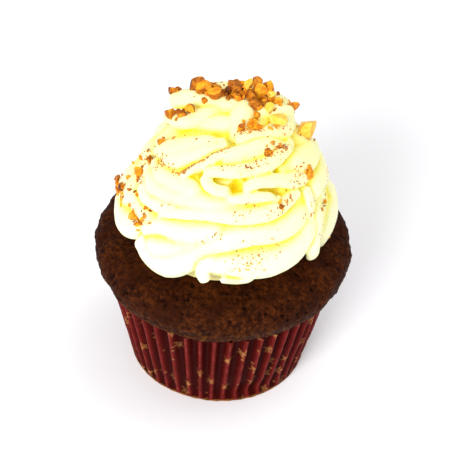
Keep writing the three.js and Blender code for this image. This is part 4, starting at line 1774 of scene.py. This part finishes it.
@dataclass
class Toppings:
    """Chopped nuts, their crumbs and their dust, strewn on the cream."""

    swirl: Swirl
    seed: int = 7
    top: float = 88.2
    reach: float = 12.0
    # The cut shapes, for a chip about 1 across.
    ball: float = 0.64
    skin: float = 0.60
    cut_depth: tuple[float, float] = (0.14, 0.40)
    bevel: float = 0.022
    bevel_angle: float = 0.6
    stretch: tuple[float, float, float] = (1.3, 0.95, 0.82)
    # The chips: how far they stand proud, in sizes, and those strewn on the back.
    shapes: int = 9
    proud: float = 0.22
    crown_proud: float = 0.36
    back_count: int = 12
    back_azimuths: tuple[float, float] = (118, 222)
    back_stations: tuple[float, float] = (0.2, 0.66)
    back_sizes: tuple[float, float] = (2.2, 3.6)
    # The crumbs.
    crumb_shapes: int = 6
    crumb_proud: float = 0.25
    crown_crumbs: int = 130
    crown_crumb_sizes: tuple[float, float] = (0.7, 2.1)
    crown_spread: float = 0.45
    side_crumbs: int = 150
    side_crumb_sizes: tuple[float, float] = (0.4, 1.5)
    # The dust: most specks are small, and all are flat.
    speck_sizes: tuple[float, float] = (0.2, 0.7)
    speck_rarity: float = 2.5
    speck_widths: tuple[float, float] = (0.8, 1.7)
    speck_flatness: float = 0.55
    clump_spread: float = 0.8
    speck_spread: float = 0.6

    def __post_init__(self) -> None:
        """Starts the run of chances."""
        self.chance = random.Random(self.seed)
        self.chip_places: list[Vector] = []

    def cut_nut(self, name: str, cuts: int, segments: int) -> bpy.types.Mesh:
        """A ball about 1 across with flat cuts, its round part the skin.

        Args:
            name: the mesh's name.
            cuts: how many flat cuts it has.
            segments: how finely its round part is divided.

        Returns:
            The mesh. Its skin has material 0 and its cuts material 1.
        """
        deselect_all()
        rings = segments // 2
        bpy.ops.mesh.primitive_uv_sphere_add(segments=segments, ring_count=rings, radius=self.ball)
        piece = bpy.context.object
        bpy.ops.object.mode_set(mode="EDIT")
        for _ in range(cuts):
            way = Vector([self.chance.gauss(0, 1) for _ in range(3)]).normalized()
            bpy.ops.mesh.select_all(action="SELECT")
            bpy.ops.mesh.bisect(
                plane_co=way * self.chance.uniform(*self.cut_depth), plane_no=way,
                use_fill=True, clear_outer=True,
            )
        bpy.ops.object.mode_set(mode="OBJECT")
        mesh = piece.data
        mesh.name = name
        for face in mesh.polygons:
            face.material_index = 0 if face.center.length > self.skin else 1
        apply_modifier(
            piece, "BEVEL",
            width=self.bevel, segments=1, limit_method="ANGLE", angle_limit=self.bevel_angle,
        )
        mesh = piece.data
        bpy.data.objects.remove(piece)
        return mesh

    def surface(self, tree: BVHTree, azimuth: float, station: float) -> tuple[Vector, Vector]:
        """Where a line into the swirl meets the cream, and the cream's normal there.

        Args:
            tree: the faces of the swirl.
            azimuth: degrees round from the front.
            station: the way up, from 0 to 1.

        Returns:
            The point in millimetres, and the normal.
        """
        point, out = self.swirl.at(azimuth, station)
        start = (point + out * self.reach) * MM
        hit, normal, _, _ = tree.ray_cast(start, -out, 2 * self.reach * MM)
        return (hit / MM, normal) if hit else (point, out)

    def placed(self, point: Vector, size: float, tall: float = 1.0) -> Matrix:
        """The place of a copy: of a size, turned at random, and drawn out upward.

        Args:
            point: its middle.
            size: its size.
            tall: how far it is drawn out upward.

        Returns:
            The place.
        """
        turn = Euler([self.chance.uniform(0, math.tau) for _ in range(3)]).to_matrix().to_4x4()
        sized = Matrix.Diagonal([size * share for share in self.stretch] + [1])
        return Matrix.Translation(point) @ Matrix.Diagonal((1, 1, tall, 1)) @ turn @ sized

    def back_chips(self) -> list[Chip]:
        """The chips on the back, each at random in its share of the way round.

        Returns:
            The chips.
        """
        start, end = self.back_azimuths
        return [
            Chip(
                start + (end - start) * (i + self.chance.random()) / self.back_count,
                self.chance.uniform(*self.back_stations),
                self.chance.uniform(*self.back_sizes),
                self.chance.choice(list(NutTone)),
            )
            for i in range(self.back_count)
        ]

    def chip_place(self, tree: BVHTree, chip: Chip | CrownChip, shape: bpy.types.Mesh) -> Matrix:
        """The place of a chip on the cream.

        Args:
            tree: the swirl's faces.
            chip: the chip.
            shape: its mesh.

        Returns:
            The place. The point where it lies is added to the chips' places.
        """
        if isinstance(chip, CrownChip):
            point = self.landing(tree, chip.x, chip.y)[0]
            centre = point + Vector((0, 0, chip.size * self.crown_proud))
            place = self.lowered(shape, self.placed(centre, chip.size, chip.tall))
        else:
            point, normal = self.surface(tree, chip.azimuth, chip.station)
            place = self.placed(point + normal * chip.size * self.proud, chip.size)
        self.chip_places.append(point)
        return place

    def nuts(self, tree: BVHTree) -> list[Piece]:
        """The chips, one piece for each tone.

        Args:
            tree: the faces of the swirl.

        Returns:
            The pieces.
        """
        chips = (*CROWN_CHIPS, *CHIPS, *self.back_chips())
        shapes = [self.cut_nut(f"chip_{i}", 6 + 2 * (i % 3), 20) for i in range(self.shapes)]
        pieces = []
        for tone in NutTone:
            copies = []
            for chip in chips:
                if chip.tone is tone:
                    shape = self.chance.choice(shapes)
                    copies.append((shape, self.chip_place(tree, chip, shape)))
            pieces.append(self.finished(gathered(f"{tone.value.name}s", copies), tone))
        return pieces

    def landing(self, tree: BVHTree, x: float, y: float) -> tuple[Vector, Vector]:
        """Where something dropped on the crown lands, and the cream's normal there.

        Args:
            tree: the faces of the swirl.
            x: where it is dropped, from left to right.
            y: where it is dropped, from front to back.

        Returns:
            The point in millimetres, and the normal.
        """
        start = Vector((x, y, 2 * self.top)) * MM
        hit, normal, _, _ = tree.ray_cast(start, Vector((0, 0, -1)))
        return hit / MM, normal

    def lowered(self, shape: bpy.types.Mesh, place: Matrix) -> Matrix:
        """The place, lowered where the copy would stand above the highest nut."""
        high = max((place @ corner.co).z for corner in shape.vertices)
        return Matrix.Translation((0, 0, min(self.top - high, 0))) @ place

    def finished(self, piece: Piece, tone: NutTone) -> Piece:
        """A piece of nuts with its tone's two materials."""
        for material in tone.value.materials():
            piece.data.materials.append(material)
        return stood_for(piece, "cream")

    def crown_crumb(self, tree: BVHTree) -> tuple[Vector, Vector, float]:
        """A crumb that fell near a chip of the crown.

        Args:
            tree: the faces of the swirl.

        Returns:
            The point, the normal and the size.
        """
        chip = self.chance.choice(CROWN_CHIPS)
        x, y = (self.chance.gauss(0, chip.size * self.crown_spread) for _ in range(2))
        point, normal = self.landing(tree, chip.x + x, chip.y + y)
        return point, normal, self.chance.uniform(*self.crown_crumb_sizes)

    def side_crumb(self, tree: BVHTree) -> tuple[Vector, Vector, float]:
        """A crumb that lies at one of the spots on the side.

        Args:
            tree: the faces of the swirl.

        Returns:
            The point, the normal and the size.
        """
        azimuth, station, loose = self.chance.choice(CRUMB_SPOTS)
        azimuth += self.chance.gauss(0, DEGREES_PER_MM) * loose
        station += self.chance.gauss(0, STATION_PER_MM) * loose
        point, normal = self.surface(tree, azimuth, station)
        return point, normal, self.chance.uniform(*self.side_crumb_sizes)

    def crumbs(self, tree: BVHTree) -> list[Piece]:
        """Crumbs of nut about the chips, one piece for each of two tones.

        Args:
            tree: the faces of the swirl.

        Returns:
            The pieces.
        """
        shapes = [self.cut_nut(f"crumb_{i}", 7, 8) for i in range(self.crumb_shapes)]
        copies = []
        for crumb in [self.crown_crumb] * self.crown_crumbs + [self.side_crumb] * self.side_crumbs:
            point, normal, size = crumb(tree)
            shape = self.chance.choice(shapes)
            place = self.placed(point + normal * size * self.crumb_proud, size)
            copies.append((shape, self.lowered(shape, place)))
        tones = (NutTone.AMBER, NutTone.BROWN)
        return [
            self.finished(gathered(f"{tone.value.name}_crumbs", copies[i:: len(tones)]), tone)
            for i, tone in enumerate(tones)
        ]

    def dust_places(self, tree: BVHTree) -> list[tuple[Vector, Vector]]:
        """Where the specks of dust lie, and the cream's normal there.

        Args:
            tree: the faces of the swirl.

        Returns:
            The point and the normal of each speck.
        """
        places = []
        for trail in TRAILS:
            for i in range(trail.specks):
                if i % trail.clump == 0:
                    middle = along_knots(trail.places, self.chance.random())
                    aside = [self.chance.gauss(0, self.clump_spread) * trail.spread for _ in range(2)]
                spread = self.speck_spread * trail.spread
                azimuth = middle[0] + DEGREES_PER_MM * (aside[0] + self.chance.gauss(0, spread))
                station = middle[1] + STATION_PER_MM * (aside[1] + self.chance.gauss(0, spread))
                places.append(self.surface(tree, azimuth, station))
        return places

    def dust(self, places: Sequence[tuple[Vector, Vector]]) -> Piece:
        """The specks of dust, flat on the cream.

        Args:
            places: the point and the normal of each speck.

        Returns:
            The piece.
        """
        deselect_all()
        bpy.ops.mesh.primitive_ico_sphere_add(subdivisions=1, radius=0.5)
        ball = bpy.context.object
        shape = ball.data
        bpy.data.objects.remove(ball)
        low, high = self.speck_sizes
        copies = []
        for point, normal in places:
            size = low + (high - low) * self.chance.random() ** self.speck_rarity
            turn = normal.to_track_quat("Z", "Y").to_matrix().to_4x4()
            spin = Matrix.Rotation(self.chance.uniform(0, math.tau), 4, "Z")
            width = size * self.chance.uniform(*self.speck_widths)
            flat = Matrix.Diagonal((width, size, size * self.speck_flatness, 1))
            copies.append((shape, Matrix.Translation(point) @ turn @ spin @ flat))
        piece = gathered("nut_dust", copies)
        piece.data.materials.append(DustFinish().material())
        return stood_for(piece, "cream")


# ---------------------------------------------------------------- stage


@dataclass(frozen=True)
class Viewpoint:
    """Where the camera stands, and how it frames the cupcake.

    The frame, the focal length and the place of the target in the frame are in
    the frame's own units.
    """

    frame: int = 458
    elevation: float = 41.12
    distance: float = 420.0
    focal: float = 1490.0
    middle: tuple[float, float] = (223.2, 225.6)
    roll: float = 2.95
    target: tuple[float, float, float] = (0, 0, 45)
    sensor: float = 36.0
    clip: tuple[float, float] = (0.01, 50)

    def build(self) -> None:
        """Makes the scene's camera."""
        rise = math.radians(self.elevation)
        back = Vector((0, -math.cos(rise), math.sin(rise)))
        right, up = Vector((1, 0, 0)), Vector((0, math.sin(rise), math.cos(rise)))
        roll = Matrix.Rotation(math.radians(self.roll), 3, "Z")
        turn = Matrix((right, up, back)).transposed() @ roll
        # The target lies beside the frame's middle, so the camera is moved aside.
        scale = self.distance / self.focal
        x, y = ((self.frame / 2 - middle) * scale for middle in self.middle)
        place = Vector(self.target) + back * self.distance + turn @ Vector((x, -y, 0))
        data = bpy.data.cameras.new("camera")
        data.sensor_width = self.sensor
        data.lens = self.sensor * self.focal / self.frame
        data.clip_start, data.clip_end = self.clip
        camera = bpy.data.objects.new("camera", data)
        camera.matrix_world = Matrix.Translation(place * MM) @ turn.to_4x4()
        bpy.context.scene.collection.objects.link(camera)
        bpy.context.scene.camera = camera


@dataclass(frozen=True)
class Studio:
    """A white floor under soft light. A lamp is (x, y, z, size, power), in metres and watts."""

    floor_size: float = 6.0
    floor_colour: Colour = (0.97, 0.96, 0.98, 1)
    sky: float = 0.74
    lamps: Rows = ((-0.75, -1.5, 0.95, 0.8, 34), (0.6, 0.2, 1.4, 1.0, 5))
    aim: tuple[float, float, float] = (0, 0, 0.05)

    def build(self) -> None:
        """Makes the floor, the lamps and the sky."""
        deselect_all()
        bpy.ops.mesh.primitive_plane_add(size=self.floor_size)
        floor = bpy.context.object
        floor.name = "floor"
        values = {"Base Color": self.floor_colour, "Roughness": 0.9}
        floor.data.materials.append(MaterialSheet("floor").finished(values))
        for x, y, z, size, power in self.lamps:
            lamp = bpy.data.lights.new("lamp", "AREA")
            lamp.size, lamp.energy = size, power
            holder = bpy.data.objects.new("lamp", lamp)
            holder.location = (x, y, z)
            towards = Vector(self.aim) - holder.location
            holder.rotation_euler = towards.to_track_quat("-Z", "Y").to_euler()
            bpy.context.scene.collection.objects.link(holder)
        world = bpy.data.worlds.new("sky")
        world.use_nodes = True
        background = world.node_tree.nodes["Background"]
        background.inputs["Color"].default_value = (1, 1, 1, 1)
        background.inputs["Strength"].default_value = self.sky
        bpy.context.scene.world = world
        bpy.context.scene.view_settings.view_transform = "Standard"


def main() -> None:
    """Builds the cupcake round its frame."""
    logging.basicConfig(level=logging.INFO, format="%(name)s: %(message)s")
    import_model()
    Viewpoint().build()
    Studio().build()
    PaperCase().build()
    Cake().build()
    cream = CreamSwirl()
    piece = cream.build()
    tree = BVHTree.FromObject(piece, bpy.context.evaluated_depsgraph_get())
    toppings = Toppings(cream.swirl)
    toppings.nuts(tree)
    toppings.crumbs(tree)
    places = toppings.dust_places(tree)
    toppings.dust(places)
    cream.dress(piece, tree, [point for point, _ in places], toppings.chip_places)


if __name__ == "__main__":
    main()
